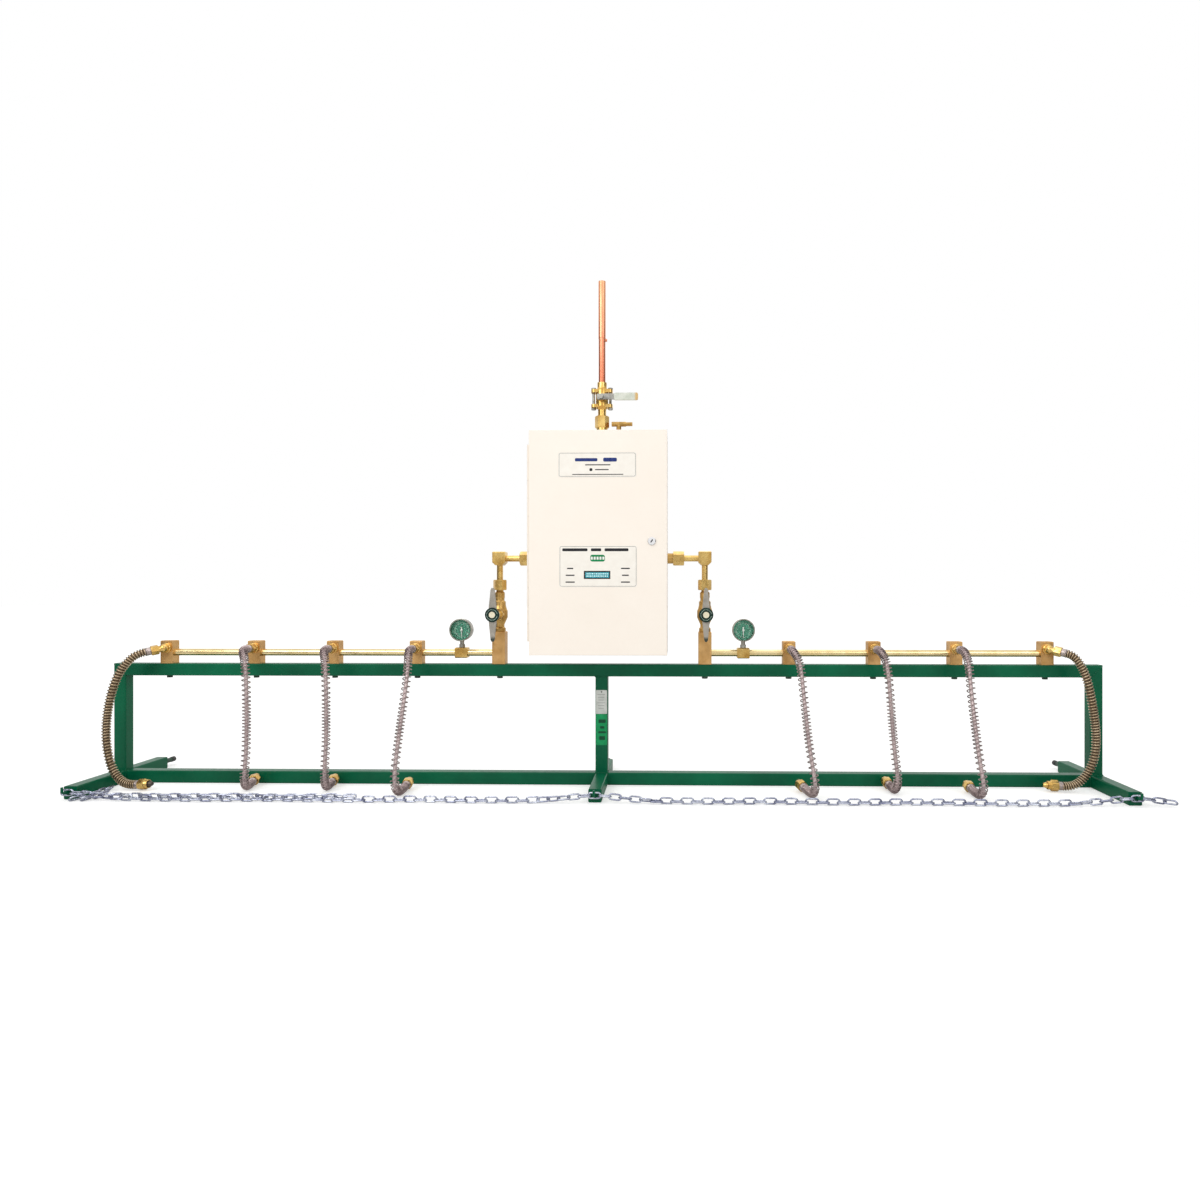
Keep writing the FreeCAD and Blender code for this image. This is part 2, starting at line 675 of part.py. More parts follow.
def smooth_path(points):
    """Straight runs joined by tangent arcs, each as large as its two runs allow."""
    path = [Vector(*point) for point in points]
    edges = []
    radii = []
    last = path[0]
    for before, corner, after in zip(path, path[1:], path[2:]):
        inward = (corner - before).normalize()
        outward = (after - corner).normalize()
        turn = inward.getAngle(outward)
        tangent = 0.45 * min(corner.distanceToPoint(before), corner.distanceToPoint(after))
        radius = tangent / math.tan(turn / 2)
        radii.append(radius)
        start = corner - inward * tangent
        end = corner + outward * tangent
        to_centre = (outward - inward).normalize()
        middle = corner + to_centre * (radius / math.cos(turn / 2) - radius)
        edges.append(Part.LineSegment(last, start).toShape())
        edges.append(Part.Arc(start, middle, end).toShape())
        last = end
    edges.append(Part.LineSegment(last, path[-1]).toShape())
    return Part.Wire(edges), min(radii)


def build_pigtails():
    """Eight flexible pigtails, with their upper nuts, sleeves and cylinder connections."""
    top_nuts = []
    sleeves = []
    cylinder_nuts = []
    nipples = []
    for name, route in ROUTES.items():
        side_name, _, number = name.split("_")
        side = dict(SIDES)[side_name]
        outer = int(number) == len(STATIONS)
        station = side * STATIONS[int(number) - 1]

        leaving = outlet_direction(side, outer)
        start = nut_start(station, side, outer)
        nut = hexagon(TOP_NUT_AF, TOP_NUT_LENGTH, start, leaving, 1.5)
        top_nuts.append(nut.cut(rod(start, leaving, NOSE_RADIUS + SOCKET_GAP, TOP_NUT_LENGTH)))
        sleeves.append(sleeve(start + leaving * NOSE_LENGTH, leaving))

        path, tightest = smooth_path(route)
        ring = Part.Wire(Part.makeCircle(HOSE_RADIUS, Vector(*route[0]),
                                         Vector(*route[1]) - Vector(*route[0])))
        hose = path.makePipeShell([ring], True, False)
        expected = math.pi * HOSE_RADIUS ** 2 * path.Length
        print(f"{name}: length {path.Length:.0f}, tightest radius {tightest:.0f}, "
              f"volume ratio {hose.Volume / expected:.4f}")
        add(name, hose)

        arriving = (Vector(*route[-1]) - Vector(*route[-2])).normalize()
        hose_end = Vector(*route[-1])
        collar_end = hose_end + arriving * (SLEEVE_LENGTH + COLLAR_LENGTH)
        sleeves.append(sleeve(collar_end, arriving * -1))
        nut_root = hose_end + arriving * SLEEVE_LENGTH
        nut_end = CYLINDER_NUT_HEX + CYLINDER_NUT_ROUND
        body = hexagon(CYLINDER_NUT_AF, CYLINDER_NUT_HEX, nut_root, arriving, 1.5)
        body = body.fuse(rod(nut_root + arriving * CYLINDER_NUT_HEX, arriving,
                             CYLINDER_NUT_ROUND_RADIUS, CYLINDER_NUT_ROUND))
        cylinder_nuts.append(body.cut(rod(nut_root, arriving, NOSE_RADIUS + SOCKET_GAP, nut_end)))
        nose_start = nut_end - COLLAR_LENGTH
        nipples.append(turned([(0, 0), (NOSE_RADIUS, 0), (NOSE_RADIUS, 6),
                               (NIPPLE_RADIUS, 8), (NIPPLE_RADIUS, nose_start + 4),
                               (NIPPLE_RADIUS - 4, nose_start + NIPPLE_NOSE),
                               (0, nose_start + NIPPLE_NOSE)], collar_end, arriving))
    add("pigtail_top_nuts", *top_nuts)
    add("pigtail_sleeves", *sleeves)
    add("cylinder_nuts", *cylinder_nuts)
    add("cylinder_nipples", *nipples)


def build_gauges():
    """Tees on the header and the two pressure gauges with their pointers."""
    tees = []
    cases = []
    dials = []
    lenses = []
    centre_z = HEADER_Z + GAUGE_RISE - HEADER_HEIGHT
    floor = -GAUGE_FRONT + GAUGE_CAVITY
    for name, side in SIDES:
        x = side * GAUGE_X
        half = TEE_WIDTH / 2
        top = HEADER_Z + TEE_HEIGHT / 2
        tee = box(x - half, x + half, -TEE_HEIGHT / 2, TEE_HEIGHT / 2,
                  HEADER_Z - TEE_HEIGHT / 2, top)
        tee = tee.makeChamfer(BLOCK_CHAMFER, top_edges(tee, top)
                              + top_edges(tee, HEADER_Z - TEE_HEIGHT / 2))
        for direction in (-1, 1):
            mouth = Vector(x + direction * (half - SOCKET_DEPTH), 0, HEADER_Z)
            tee = tee.cut(rod(mouth, X_AXIS * direction, HEADER_RADIUS + SOCKET_GAP,
                              SOCKET_DEPTH + 1))
        tees.append(tee)

        centre = Vector(x, 0, centre_z)
        stem = rod(Vector(x, 0, top), Z_AXIS, GAUGE_STEM_RADIUS, centre_z - top)
        stem = stem.fuse(hexagon(GAUGE_HEX_AF, GAUGE_HEX_HEIGHT, Vector(x, 0, top), Z_AXIS, 1.0))
        drum = turned([(0, -GAUGE_BACK), (GAUGE_RADIUS - 4, -GAUGE_BACK),
                       (GAUGE_RADIUS - 1, -GAUGE_BACK + 4), (GAUGE_RADIUS - 1, GAUGE_FRONT - 6),
                       (GAUGE_RADIUS, GAUGE_FRONT - 5), (GAUGE_RADIUS, GAUGE_FRONT - 1),
                       (GAUGE_RADIUS - 1, GAUGE_FRONT), (0, GAUGE_FRONT)], centre, FRONT)
        inside = GAUGE_RADIUS - GAUGE_RIM
        case = drum.fuse(stem)
        case = case.cut(rod(Vector(x, floor, centre_z), FRONT, inside, GAUGE_CAVITY + 1))
        case = case.cut(rod(Vector(x, floor - 1, centre_z), Y_AXIS,
                            ARBOR_RADIUS + RUNNING_GAP, ARBOR_DEPTH + 1))
        cases.append(case)
        disc = inside - SOCKET_GAP
        dial = rod(Vector(x, floor, centre_z), FRONT, disc, DIAL_THICKNESS)
        dials.append(dial.cut(rod(Vector(x, floor, centre_z), FRONT,
                                  ARBOR_RADIUS + RUNNING_GAP, DIAL_THICKNESS)))
        lens_back = -GAUGE_FRONT + LENS_INSET + LENS_THICKNESS
        lenses.append(rod(Vector(x, lens_back, centre_z), FRONT, disc, LENS_THICKNESS))
        pointer_y = floor - DIAL_THICKNESS - POINTER_LIFT
        needle = plate([(x - 2.2, centre_z + POINTER_TAIL), (x + 2.2, centre_z + POINTER_TAIL),
                        (x + 0.5, centre_z - POINTER_LENGTH),
                        (x - 0.5, centre_z - POINTER_LENGTH)],
                       pointer_y - POINTER_THICKNESS, POINTER_THICKNESS)
        boss = rod(Vector(x, pointer_y, centre_z), FRONT, 3.5, 2.0)
        arbor = rod(Vector(x, floor + ARBOR_DEPTH - SEAT_GAP, centre_z), FRONT, ARBOR_RADIUS,
                    floor + ARBOR_DEPTH - SEAT_GAP - pointer_y + 1)
        add(f"{name}_gauge_pointer", needle.fuse(boss).fuse(arbor))
    add("gauge_tees", *tees)
    add("gauge_cases", *cases)
    add("gauge_dials", *dials)
    add("gauge_lenses", *lenses)


def handle_outline(x, z):
    """Half of the double lever's outline, mirrored about the hub."""
    root = HANDLE_ROOT_WIDTH / 2
    tip = HANDLE_TIP_WIDTH / 2
    return [(x - root, z), (x - tip, z + HANDLE_HALF - tip),
            (x - tip / 2, z + HANDLE_HALF), (x + tip / 2, z + HANDLE_HALF),
            (x + tip, z + HANDLE_HALF - tip), (x + root, z),
            (x + tip, z - HANDLE_HALF + tip), (x + tip / 2, z - HANDLE_HALF),
            (x - tip / 2, z - HANDLE_HALF), (x - tip, z - HANDLE_HALF + tip)]


def build_master_valves():
    """Tall block, shut-off valve, bonnet, lever and hub cap on each side."""
    blocks = []
    bodies = []
    bonnets = []
    for name, side in SIDES:
        x = side * VALVE_X
        half = VALVE_BLOCK_WIDTH / 2
        block = box(x - half, x + half, -half, half, RACK_HEIGHT, VALVE_BLOCK_TOP)
        block = block.makeChamfer(BLOCK_CHAMFER, top_edges(block, VALVE_BLOCK_TOP))
        block = block.cut(rail_bolt_hole(x))
        mouth = Vector(x + side * (half - SOCKET_DEPTH), 0, HEADER_Z)
        blocks.append(block.cut(rod(mouth, X_AXIS * side, HEADER_RADIUS + SOCKET_GAP,
                                    SOCKET_DEPTH + 1)))

        neck = VALVE_NECK_RADIUS
        middle = VALVE_Z - VALVE_BLOCK_TOP
        bulge = VALVE_BULGE_RADIUS
        collar = neck + VALVE_COLLAR_STEP
        waist = neck - VALVE_WAIST_STEP
        shoulder = bulge - VALVE_COLLAR_STEP
        land = VALVE_LAND / 2
        ring = middle + bulge + VALVE_CONE
        top_land = VALVE_HEIGHT - VALVE_TOP_LAND
        body = turned([(0, 0), (collar, 0), (collar, VALVE_LAND / 2),
                       (waist, VALVE_LAND / 2 + VALVE_CONE), (waist, top_land / 5),
                       (shoulder, middle - bulge * 0.7), (bulge, middle - land),
                       (bulge, middle + land), (shoulder, middle + bulge * 0.7),
                       (collar, ring), (collar, ring + land), (waist, ring + land + VALVE_CONE),
                       (waist, top_land - VALVE_CONE), (neck, top_land),
                       (neck, VALVE_HEIGHT - 2 * VALVE_CONE),
                       (neck - VALVE_CONE, VALVE_HEIGHT - VALVE_CONE),
                       (neck - VALVE_CONE, VALVE_HEIGHT), (0, VALVE_HEIGHT)],
                      Vector(x, 0, VALVE_BLOCK_TOP), Z_AXIS)
        seat = Vector(x, -BONNET_ROOT, VALVE_Z)
        body = body.fuse(rod(Vector(x, 0, VALVE_Z), FRONT, BONNET_RADIUS + 4, BONNET_ROOT))
        bodies.append(body.cut(rod(seat + Y_AXIS * STEM_ROOM, FRONT, STEM_RADIUS + STEM_ROOM / 4,
                                   BONNET_LENGTH)))

        bonnet = hexagon(BONNET_AF, BONNET_HEX_LENGTH, seat, FRONT, 2.0)
        bonnet = bonnet.fuse(rod(seat, FRONT, BONNET_RADIUS, BONNET_LENGTH))
        bonnets.append(bonnet.cut(rod(seat, FRONT, STEM_RADIUS + RUNNING_GAP, BONNET_LENGTH)))

        front = -HANDLE_FRONT
        arm = plate(handle_outline(x, VALVE_Z), front, HANDLE_THICKNESS)
        hub = rod(Vector(x, front, VALVE_Z), Y_AXIS, HANDLE_HUB_RADIUS, HANDLE_HUB_LENGTH)
        stem_end = -BONNET_ROOT - BONNET_LENGTH + STEM_DEPTH
        stem = rod(Vector(x, front, VALVE_Z), Y_AXIS, STEM_RADIUS, stem_end - front)
        add(f"{name}_valve_handle", arm.fuse(hub).fuse(stem).removeSplitter())
        add(f"{name}_hub_cap", turned(
            [(0, 0), (CAP_RADIUS, 0), (CAP_RADIUS, CAP_LENGTH - 2), (CAP_RADIUS - 2, CAP_LENGTH),
             (CAP_DISH_RADIUS, CAP_LENGTH), (CAP_DISH_RADIUS, CAP_LENGTH - CAP_DISH_DEPTH),
             (0, CAP_LENGTH - CAP_DISH_DEPTH)], Vector(x, front, VALVE_Z), FRONT))
    add("valve_blocks", *blocks)
    add("valve_bodies", *bodies)
    add("valve_bonnets", *bonnets)


def pipe_nut(across_flats, length, start, axis, bore):
    """A chamfered hexagon nut around a pipe."""
    nut = hexagon(across_flats, length, start, axis, 2.0)
    return nut.cut(rod(start, axis, bore + SOCKET_GAP, length))


def build_risers():
    """From each master valve up, round the elbow and into the side of the cabinet."""
    nuts = []
    pipes = []
    elbows = []
    for _, side in SIDES:
        x = side * VALVE_X
        elbow_bottom = INLET_HEIGHT - ELBOW_HEIGHT / 2
        nuts.append(pipe_nut(RISER_NUT_AF, RISER_NUT_HEIGHT, Vector(x, 0, VALVE_BODY_TOP),
                             Z_AXIS, RISER_RADIUS))
        pipes.append(rod(Vector(x, 0, VALVE_BODY_TOP), Z_AXIS, RISER_RADIUS,
                         elbow_bottom + ELBOW_SOCKET - VALVE_BODY_TOP))

        half = ELBOW_WIDTH / 2
        low = elbow_bottom
        top = elbow_bottom + ELBOW_HEIGHT
        outline = [(x - half, top), (x - half, low + ELBOW_CHAMFER),
                   (x - half + ELBOW_CHAMFER, low), (x + half - ELBOW_CHAMFER, low),
                   (x + half, low + ELBOW_CHAMFER), (x + half, top)]
        elbow = plate(outline, -ELBOW_DEPTH / 2, ELBOW_DEPTH)
        elbow = elbow.makeChamfer(BLOCK_CHAMFER, top_edges(elbow, top))
        elbow = elbow.cut(rod(Vector(x, 0, low), Z_AXIS, RISER_RADIUS + SOCKET_GAP,
                              ELBOW_SOCKET + SOCKET_GAP))
        inner = x - side * half
        mouth = Vector(inner + side * ELBOW_SOCKET, 0, INLET_HEIGHT)
        elbow = elbow.cut(rod(mouth, X_AXIS * -side, RISER_RADIUS + SOCKET_GAP, ELBOW_SOCKET + 1))
        elbows.append(elbow)

        wall = side * CABINET_HALF
        nut_at = wall + side * INLET_ADAPTER_LENGTH
        start = mouth - X_AXIS * side * SOCKET_GAP
        pipes.append(rod(start, X_AXIS * -side, RISER_RADIUS, abs(start.x - nut_at)))
        nuts.append(pipe_nut(INLET_NUT_AF, INLET_NUT_LENGTH, Vector(nut_at, 0, INLET_HEIGHT),
                             X_AXIS * side, RISER_RADIUS))
    add("union_nuts", *nuts)
    add("riser_pipes", *pipes)
    add("riser_elbows", *elbows)


def folded_box(x_half, back, front, bottom, top, flange):
    """A sheet box that is open in front, with a flange round its mouth."""
    shell = box(-x_half, x_half, front, back, bottom, top)
    shell = shell.cut(box(-x_half + SHEET, x_half - SHEET, front + SHEET, back - SHEET,
                          bottom + SHEET, top - SHEET))
    return shell.cut(box(-x_half + flange, x_half - flange, front - 1, front + SHEET + 1,
                         bottom + flange, top - flange))


def hinge_span(index):
    """The lower and upper end of one knuckle."""
    length = (CABINET_HEIGHT - 2 * HINGE_MARGIN) / HINGE_KNUCKLES
    low = CABINET_BOTTOM + HINGE_MARGIN + index * length
    return low + KNUCKLE_GAP / 2, low + length - KNUCKLE_GAP / 2


def build_cabinet():
    """Folded box, pan door on a long hinge, lock, window and board."""
    cabinet = folded_box(CABINET_HALF, CABINET_BACK, -BOX_FRONT, CABINET_BOTTOM, CABINET_TOP,
                         FLANGE_WIDTH)
    stub = RISER_RADIUS + 2
    for side in (-1, 1):
        wall = Vector(side * (CABINET_HALF - 2 * SHEET), 0, INLET_HEIGHT)
        cabinet = cabinet.cut(rod(wall, X_AXIS * side, stub + SOCKET_GAP, 4 * SHEET))
    roof = Vector(0, 0, CABINET_TOP - 2 * SHEET)
    cabinet = cabinet.cut(rod(roof, Z_AXIS, PIPE_RADIUS + SOCKET_GAP, 4 * SHEET))
    cabinet = cabinet.cut(rod(roof + X_AXIS * VENT_X, Z_AXIS, BRANCH_RADIUS + SOCKET_GAP,
                              4 * SHEET))

    pin_x = -CABINET_HALF - HINGE_RADIUS - SEAT_GAP
    pin_y = -BOX_FRONT - DOOR_GAP / 2
    front = -CABINET_FRONT
    pan_back = front + DOOR_RETURN
    pan = box(-CABINET_HALF, CABINET_HALF, front, pan_back, CABINET_BOTTOM, CABINET_TOP)
    outer_edges = [edge for edge in pan.Edges
                   if all(abs(vertex.Y - front) < 0.01 for vertex in edge.Vertexes)]
    pan = pan.makeFillet(SHEET, outer_edges)
    pan = pan.cut(box(-CABINET_HALF + SHEET, CABINET_HALF - SHEET, front + SHEET, pan_back + 1,
                      CABINET_BOTTOM + SHEET, CABINET_TOP - SHEET))
    window_x, window_z = DISPLAY_CENTRE
    half_w = DISPLAY_SIZE[0] / 2
    half_h = DISPLAY_SIZE[1] / 2
    pan = pan.cut(box(window_x - half_w, window_x + half_w, front - 1, front + 2 * SHEET,
                      window_z - half_h, window_z + half_h))
    pan = pan.cut(rod(Vector(LOCK_X, front - 1, LOCK_Z), Y_AXIS, LOCK_RADIUS + RUNNING_GAP,
                      2 * SHEET + 1))

    door_side = []
    box_side = []
    for i in range(HINGE_KNUCKLES):
        low, high = hinge_span(i)
        knuckle = rod(Vector(pin_x, pin_y, low), Z_AXIS, HINGE_RADIUS, high - low)
        knuckle = knuckle.cut(rod(Vector(pin_x, pin_y, low), Z_AXIS,
                                  HINGE_PIN_RADIUS + RUNNING_GAP, high - low))
        if i % 2:
            leaf = box(-CABINET_HALF - LEAF, -CABINET_HALF, pin_y - 14, pin_y, low, high)
            door_side.append(knuckle.fuse(leaf.cut(rod(Vector(pin_x, pin_y, low), Z_AXIS,
                                                       HINGE_RADIUS - 0.5, high - low))))
        else:
            leaf = box(-CABINET_HALF - LEAF, -CABINET_HALF, pin_y, pin_y + 14, low, high)
            box_side.append(knuckle.fuse(leaf.cut(rod(Vector(pin_x, pin_y, low), Z_AXIS,
                                                      HINGE_RADIUS - 0.5, high - low))))
    for leaf in door_side:
        pan = pan.fuse(leaf)
    for leaf in box_side:
        cabinet = cabinet.fuse(leaf)
    first = hinge_span(0)[0]
    last = hinge_span(HINGE_KNUCKLES - 1)[1]
    add("cabinet_body", cabinet)
    add("cabinet_door", pan)
    add("hinge_pin", rod(Vector(pin_x, pin_y, first), Z_AXIS, HINGE_PIN_RADIUS, last - first))

    glass_y = front + SHEET
    add("display_window", box(window_x - half_w - WINDOW_LIP, window_x + half_w + WINDOW_LIP,
                              glass_y, glass_y + WINDOW_THICKNESS,
                              window_z - half_h - WINDOW_LIP, window_z + half_h + WINDOW_LIP))
    board_y = glass_y + WINDOW_THICKNESS
    add("control_board", box(window_x - BOARD_SIZE[0] / 2, window_x + BOARD_SIZE[0] / 2,
                             board_y, board_y + BOARD_THICKNESS,
                             window_z - BOARD_SIZE[1] / 2, window_z + BOARD_SIZE[1] / 2))
    build_lock(front)


def build_lock(front):
    """A quarter-turn lock: at rest its cam stands clear of the box's flange."""
    cam_y = -BOX_FRONT + SHEET + CAM_GAP
    head = turned([(0, 0), (LOCK_HEAD_RADIUS, 0), (LOCK_HEAD_RADIUS, LOCK_HEAD - 1.5),
                   (LOCK_HEAD_RADIUS - 1.5, LOCK_HEAD), (0, LOCK_HEAD)],
                  Vector(LOCK_X, front - SOCKET_GAP, LOCK_Z), FRONT)
    width, height, depth = LOCK_SLOT
    head = head.cut(box(LOCK_X - width / 2, LOCK_X + width / 2, front - LOCK_HEAD - 1,
                        front - LOCK_HEAD + depth, LOCK_Z - height / 2, LOCK_Z + height / 2))
    barrel = rod(Vector(LOCK_X, front - 1, LOCK_Z), Y_AXIS, LOCK_RADIUS,
                 cam_y + CAM_THICKNESS - front + 1)
    half = CAM_WIDTH / 2
    cam = box(LOCK_X - half, LOCK_X + half, cam_y, cam_y + CAM_THICKNESS,
              LOCK_Z - CAM_LENGTH, LOCK_Z + half)
    add("door_lock", head.fuse(barrel).fuse(cam).removeSplitter())


def build_regulators():
    """Two primary regulators, the line regulator and the pipes that join them."""
    primaries = []
    half = PRIMARY_SIZE / 2
    stub = RISER_RADIUS + 2
    pipes = []
    for side in (-1, 1):
        x = side * PRIMARY_X
        body = box(x - half, x + half, -PRIMARY_DEPTH / 2, PRIMARY_DEPTH / 2,
                   INLET_HEIGHT - half, INLET_HEIGHT + half)
        upright = [edge for edge in body.Edges if abs(edge.tangentAt(0).z) > 0.9]
        body = body.makeChamfer(6, upright)
        bonnet = turned([(0, 0), (PRIMARY_BONNET_RADIUS - 5, 0), (PRIMARY_BONNET_RADIUS - 5, 5),
                         (PRIMARY_BONNET_RADIUS, 5), (PRIMARY_BONNET_RADIUS, 14),
                         (PRIMARY_BONNET_RADIUS - 6, 22),
                         (PRIMARY_BONNET_RADIUS - 10, PRIMARY_BONNET_HEIGHT),
                         (0, PRIMARY_BONNET_HEIGHT)],
                        Vector(x, 0, INLET_HEIGHT + half), Z_AXIS)
        inlet = Vector(x + side * half, 0, INLET_HEIGHT)
        wall = CABINET_HALF - PRIMARY_X - half
        entry = rod(inlet, X_AXIS * side, stub, wall)
        collar = rod(Vector(side * CABINET_HALF, 0, INLET_HEIGHT), X_AXIS * side,
                     INLET_ADAPTER_RADIUS, INLET_ADAPTER_LENGTH)
        primaries.append(body.fuse(bonnet).fuse(entry).fuse(collar).removeSplitter())
        pipes.append(rod(Vector(x - side * half, 0, INLET_HEIGHT), X_AXIS * -side, PIPE_RADIUS,
                         PRIMARY_X - half))
    add("primary_regulators", *primaries)

    line_half = LINE_REGULATOR_SIZE / 2
    low = LINE_REGULATOR_HEIGHT - line_half
    high = LINE_REGULATOR_HEIGHT + line_half
    body = box(-line_half, line_half, -PRIMARY_DEPTH / 2, PRIMARY_DEPTH / 2, low, high)
    upright = [edge for edge in body.Edges if abs(edge.tangentAt(0).z) > 0.9]
    body = body.makeChamfer(6, upright)
    bonnet = turned([(0, 0), (LINE_BONNET_RADIUS, 0), (LINE_BONNET_RADIUS, 8),
                     (LINE_BONNET_RADIUS - 8, LINE_BONNET_LENGTH), (0, LINE_BONNET_LENGTH)],
                    Vector(0, -PRIMARY_DEPTH / 2, LINE_REGULATOR_HEIGHT), FRONT)
    add("line_regulator", body.fuse(bonnet).removeSplitter())

    tree = pipes[0].fuse(pipes[1])
    tree = tree.fuse(rod(Vector(0, 0, INLET_HEIGHT), Z_AXIS, PIPE_RADIUS, low - INLET_HEIGHT))
    riser = rod(Vector(0, 0, high), Z_AXIS, PIPE_RADIUS, CABINET_TOP - high)
    branch_z = CABINET_TOP - BRANCH_DROP
    branch = rod(Vector(0, 0, branch_z), X_AXIS, BRANCH_RADIUS, VENT_X)
    branch = branch.fuse(rod(Vector(VENT_X, 0, branch_z), Z_AXIS, BRANCH_RADIUS, BRANCH_DROP))
    branch = branch.fuse(Part.makeSphere(BRANCH_RADIUS, Vector(VENT_X, 0, branch_z)))
    add("cabinet_piping", tree.removeSplitter(), riser.fuse(branch).removeSplitter())


def build_outlet():
    """Boss and nut on the roof, the flanged ball valve, its lever and the copper pipe."""
    nut_low = OUTLET_NUT_TOP - OUTLET_NUT_HEIGHT
    nut = hexagon(OUTLET_NUT_AF, OUTLET_NUT_HEIGHT, Vector(0, 0, nut_low), Z_AXIS, 2.0)
    boss = rod(Vector(0, 0, CABINET_TOP), Z_AXIS, OUTLET_BOSS_RADIUS, nut_low - CABINET_TOP)
    add("outlet_nut", nut.fuse(boss).removeSplitter())

    total = VALVE_TOP - OUTLET_NUT_TOP
    middle = BALL_CENTRE - OUTLET_NUT_TOP
    body = turned([(0, 0), (BALL_END_RADIUS, 0), (BALL_END_RADIUS, middle - BALL_HALF - 6),
                   (BALL_BODY_RADIUS, middle - BALL_HALF + 4),
                   (BALL_BODY_RADIUS, middle + BALL_HALF - 4),
                   (BALL_END_RADIUS + 2, middle + BALL_HALF + 6),
                   (BALL_END_RADIUS + 2, total), (0, total)],
                  Vector(0, 0, OUTLET_NUT_TOP), Z_AXIS)
    flange_spots = (BALL_CENTRE - BALL_HALF, BALL_CENTRE + BALL_HALF - BALL_FLANGE_THICKNESS)
    for z in flange_spots:
        flange = rounded_bar(2 * BALL_FLANGE_HALF, BALL_FLANGE_DEPTH, 9, BALL_FLANGE_THICKNESS)
        flange.translate(Vector(0, 0, z))
        body = body.fuse(flange)
    body = body.fuse(rod(Vector(0, 0, BALL_CENTRE), FRONT, BALL_BOSS_RADIUS, BALL_BOSS_LENGTH))
    for x in (-BALL_BOLT_OFFSET, BALL_BOLT_OFFSET):
        body = body.cut(rod(Vector(x, 0, BALL_CENTRE - BALL_HALF - 1), Z_AXIS,
                            BALL_BOLT_RADIUS + SOCKET_GAP, 2 * BALL_HALF + 2))
    body = body.cut(rod(Vector(0, 0, VALVE_TOP - OUTLET_IN_VALVE), Z_AXIS,
                        OUTLET_LOWER_RADIUS + SOCKET_GAP, OUTLET_IN_VALVE + 1))
    stem_floor = -BALL_BOSS_LENGTH + LEVER_STEM_DEPTH
    body = body.cut(rod(Vector(0, stem_floor, BALL_CENTRE), FRONT,
                        LEVER_STEM_RADIUS + RUNNING_GAP, LEVER_STEM_DEPTH + 1))
    add("ball_valve_body", body.removeSplitter())

    bolts = []
    for x in (-BALL_BOLT_OFFSET, BALL_BOLT_OFFSET):
        low = BALL_CENTRE - BALL_HALF
        bolt = rod(Vector(x, 0, low - BALL_BOLT_HEAD), Z_AXIS, BALL_BOLT_RADIUS,
                   2 * (BALL_HALF + BALL_BOLT_HEAD))
        for z in (low - BALL_BOLT_HEAD, BALL_CENTRE + BALL_HALF):
            bolt = bolt.fuse(hexagon(BALL_BOLT_AF, BALL_BOLT_HEAD, Vector(x, 0, z), Z_AXIS, 1.0))
        bolts.append(bolt.removeSplitter())
    add("ball_valve_bolts", *bolts)

    lever_back = -BALL_BOSS_LENGTH - SEAT_GAP
    lever_front = lever_back - LEVER_THICKNESS
    half = LEVER_WIDTH / 2
    blade_end = LEVER_REACH - LEVER_TIP_WALL - SOCKET_GAP
    blade = box(-LEVER_TAIL, blade_end, lever_front, lever_back,
                BALL_CENTRE - half, BALL_CENTRE + half)
    upright = [edge for edge in blade.Edges if abs(edge.tangentAt(0).y) > 0.9]
    blade = blade.makeFillet(5, upright)
    stem = rod(Vector(0, stem_floor - SEAT_GAP, BALL_CENTRE), FRONT, LEVER_STEM_RADIUS,
               stem_floor - SEAT_GAP - lever_front)
    nut = hexagon(LEVER_NUT_AF, LEVER_NUT_HEIGHT, Vector(0, lever_front, BALL_CENTRE), FRONT, 1.0)
    add("ball_valve_lever", blade.fuse(stem).fuse(nut).removeSplitter())

    wall = LEVER_SLEEVE_WALL
    grip = box(SLEEVE_START, LEVER_REACH, lever_front - wall, lever_back + wall,
               BALL_CENTRE - half - wall, BALL_CENTRE + half + wall)
    grip_edges = [edge for edge in grip.Edges if abs(edge.tangentAt(0).y) > 0.9]
    grip = grip.makeFillet(5, grip_edges)
    pocket = box(SLEEVE_START - 1, LEVER_REACH - LEVER_TIP_WALL, lever_front - SOCKET_GAP,
                 lever_back + SOCKET_GAP, BALL_CENTRE - half - SOCKET_GAP,
                 BALL_CENTRE + half + SOCKET_GAP)
    add("lever_sleeve", grip.cut(pocket))

    bottom = VALVE_TOP - OUTLET_IN_VALVE
    step = PORT_HEIGHT + PORT_RADIUS + PORT_MARGIN - bottom
    height = OUTLET_TOP - bottom
    pipe = turned([(0, 0), (OUTLET_LOWER_RADIUS, 0), (OUTLET_LOWER_RADIUS, step),
                   (OUTLET_RADIUS, step), (OUTLET_RADIUS, height), (0, height)],
                  Vector(0, 0, bottom), Z_AXIS)
    port = Vector(OUTLET_LOWER_RADIUS - OUTLET_WALL / 2, 0, PORT_HEIGHT)
    pipe = pipe.fuse(rod(port, X_AXIS, PORT_RADIUS, PORT_LENGTH))
    narrow = rod(Vector(0, 0, bottom), Z_AXIS, OUTLET_LOWER_RADIUS - OUTLET_WALL, height)
    wide = rod(Vector(0, 0, bottom + step + OUTLET_WALL), Z_AXIS, OUTLET_RADIUS - OUTLET_WALL,
               height)
    add("outlet_pipe", pipe.cut(narrow).cut(wide))

    vent = rod(Vector(VENT_X, 0, CABINET_TOP), Z_AXIS, VENT_RADIUS, VENT_RISE)
    vent_z = CABINET_TOP + VENT_RISE
    vent = vent.fuse(rod(Vector(VENT_X - VENT_HALF, 0, vent_z), X_AXIS, VENT_RADIUS,
                         2 * VENT_HALF))
    vent = vent.fuse(rod(Vector(VENT_X + VENT_HALF, 0, vent_z), X_AXIS,
                         VENT_RADIUS - VENT_WALL, VENT_TIP_LENGTH))
    add("vent_fitting", vent.removeSplitter())


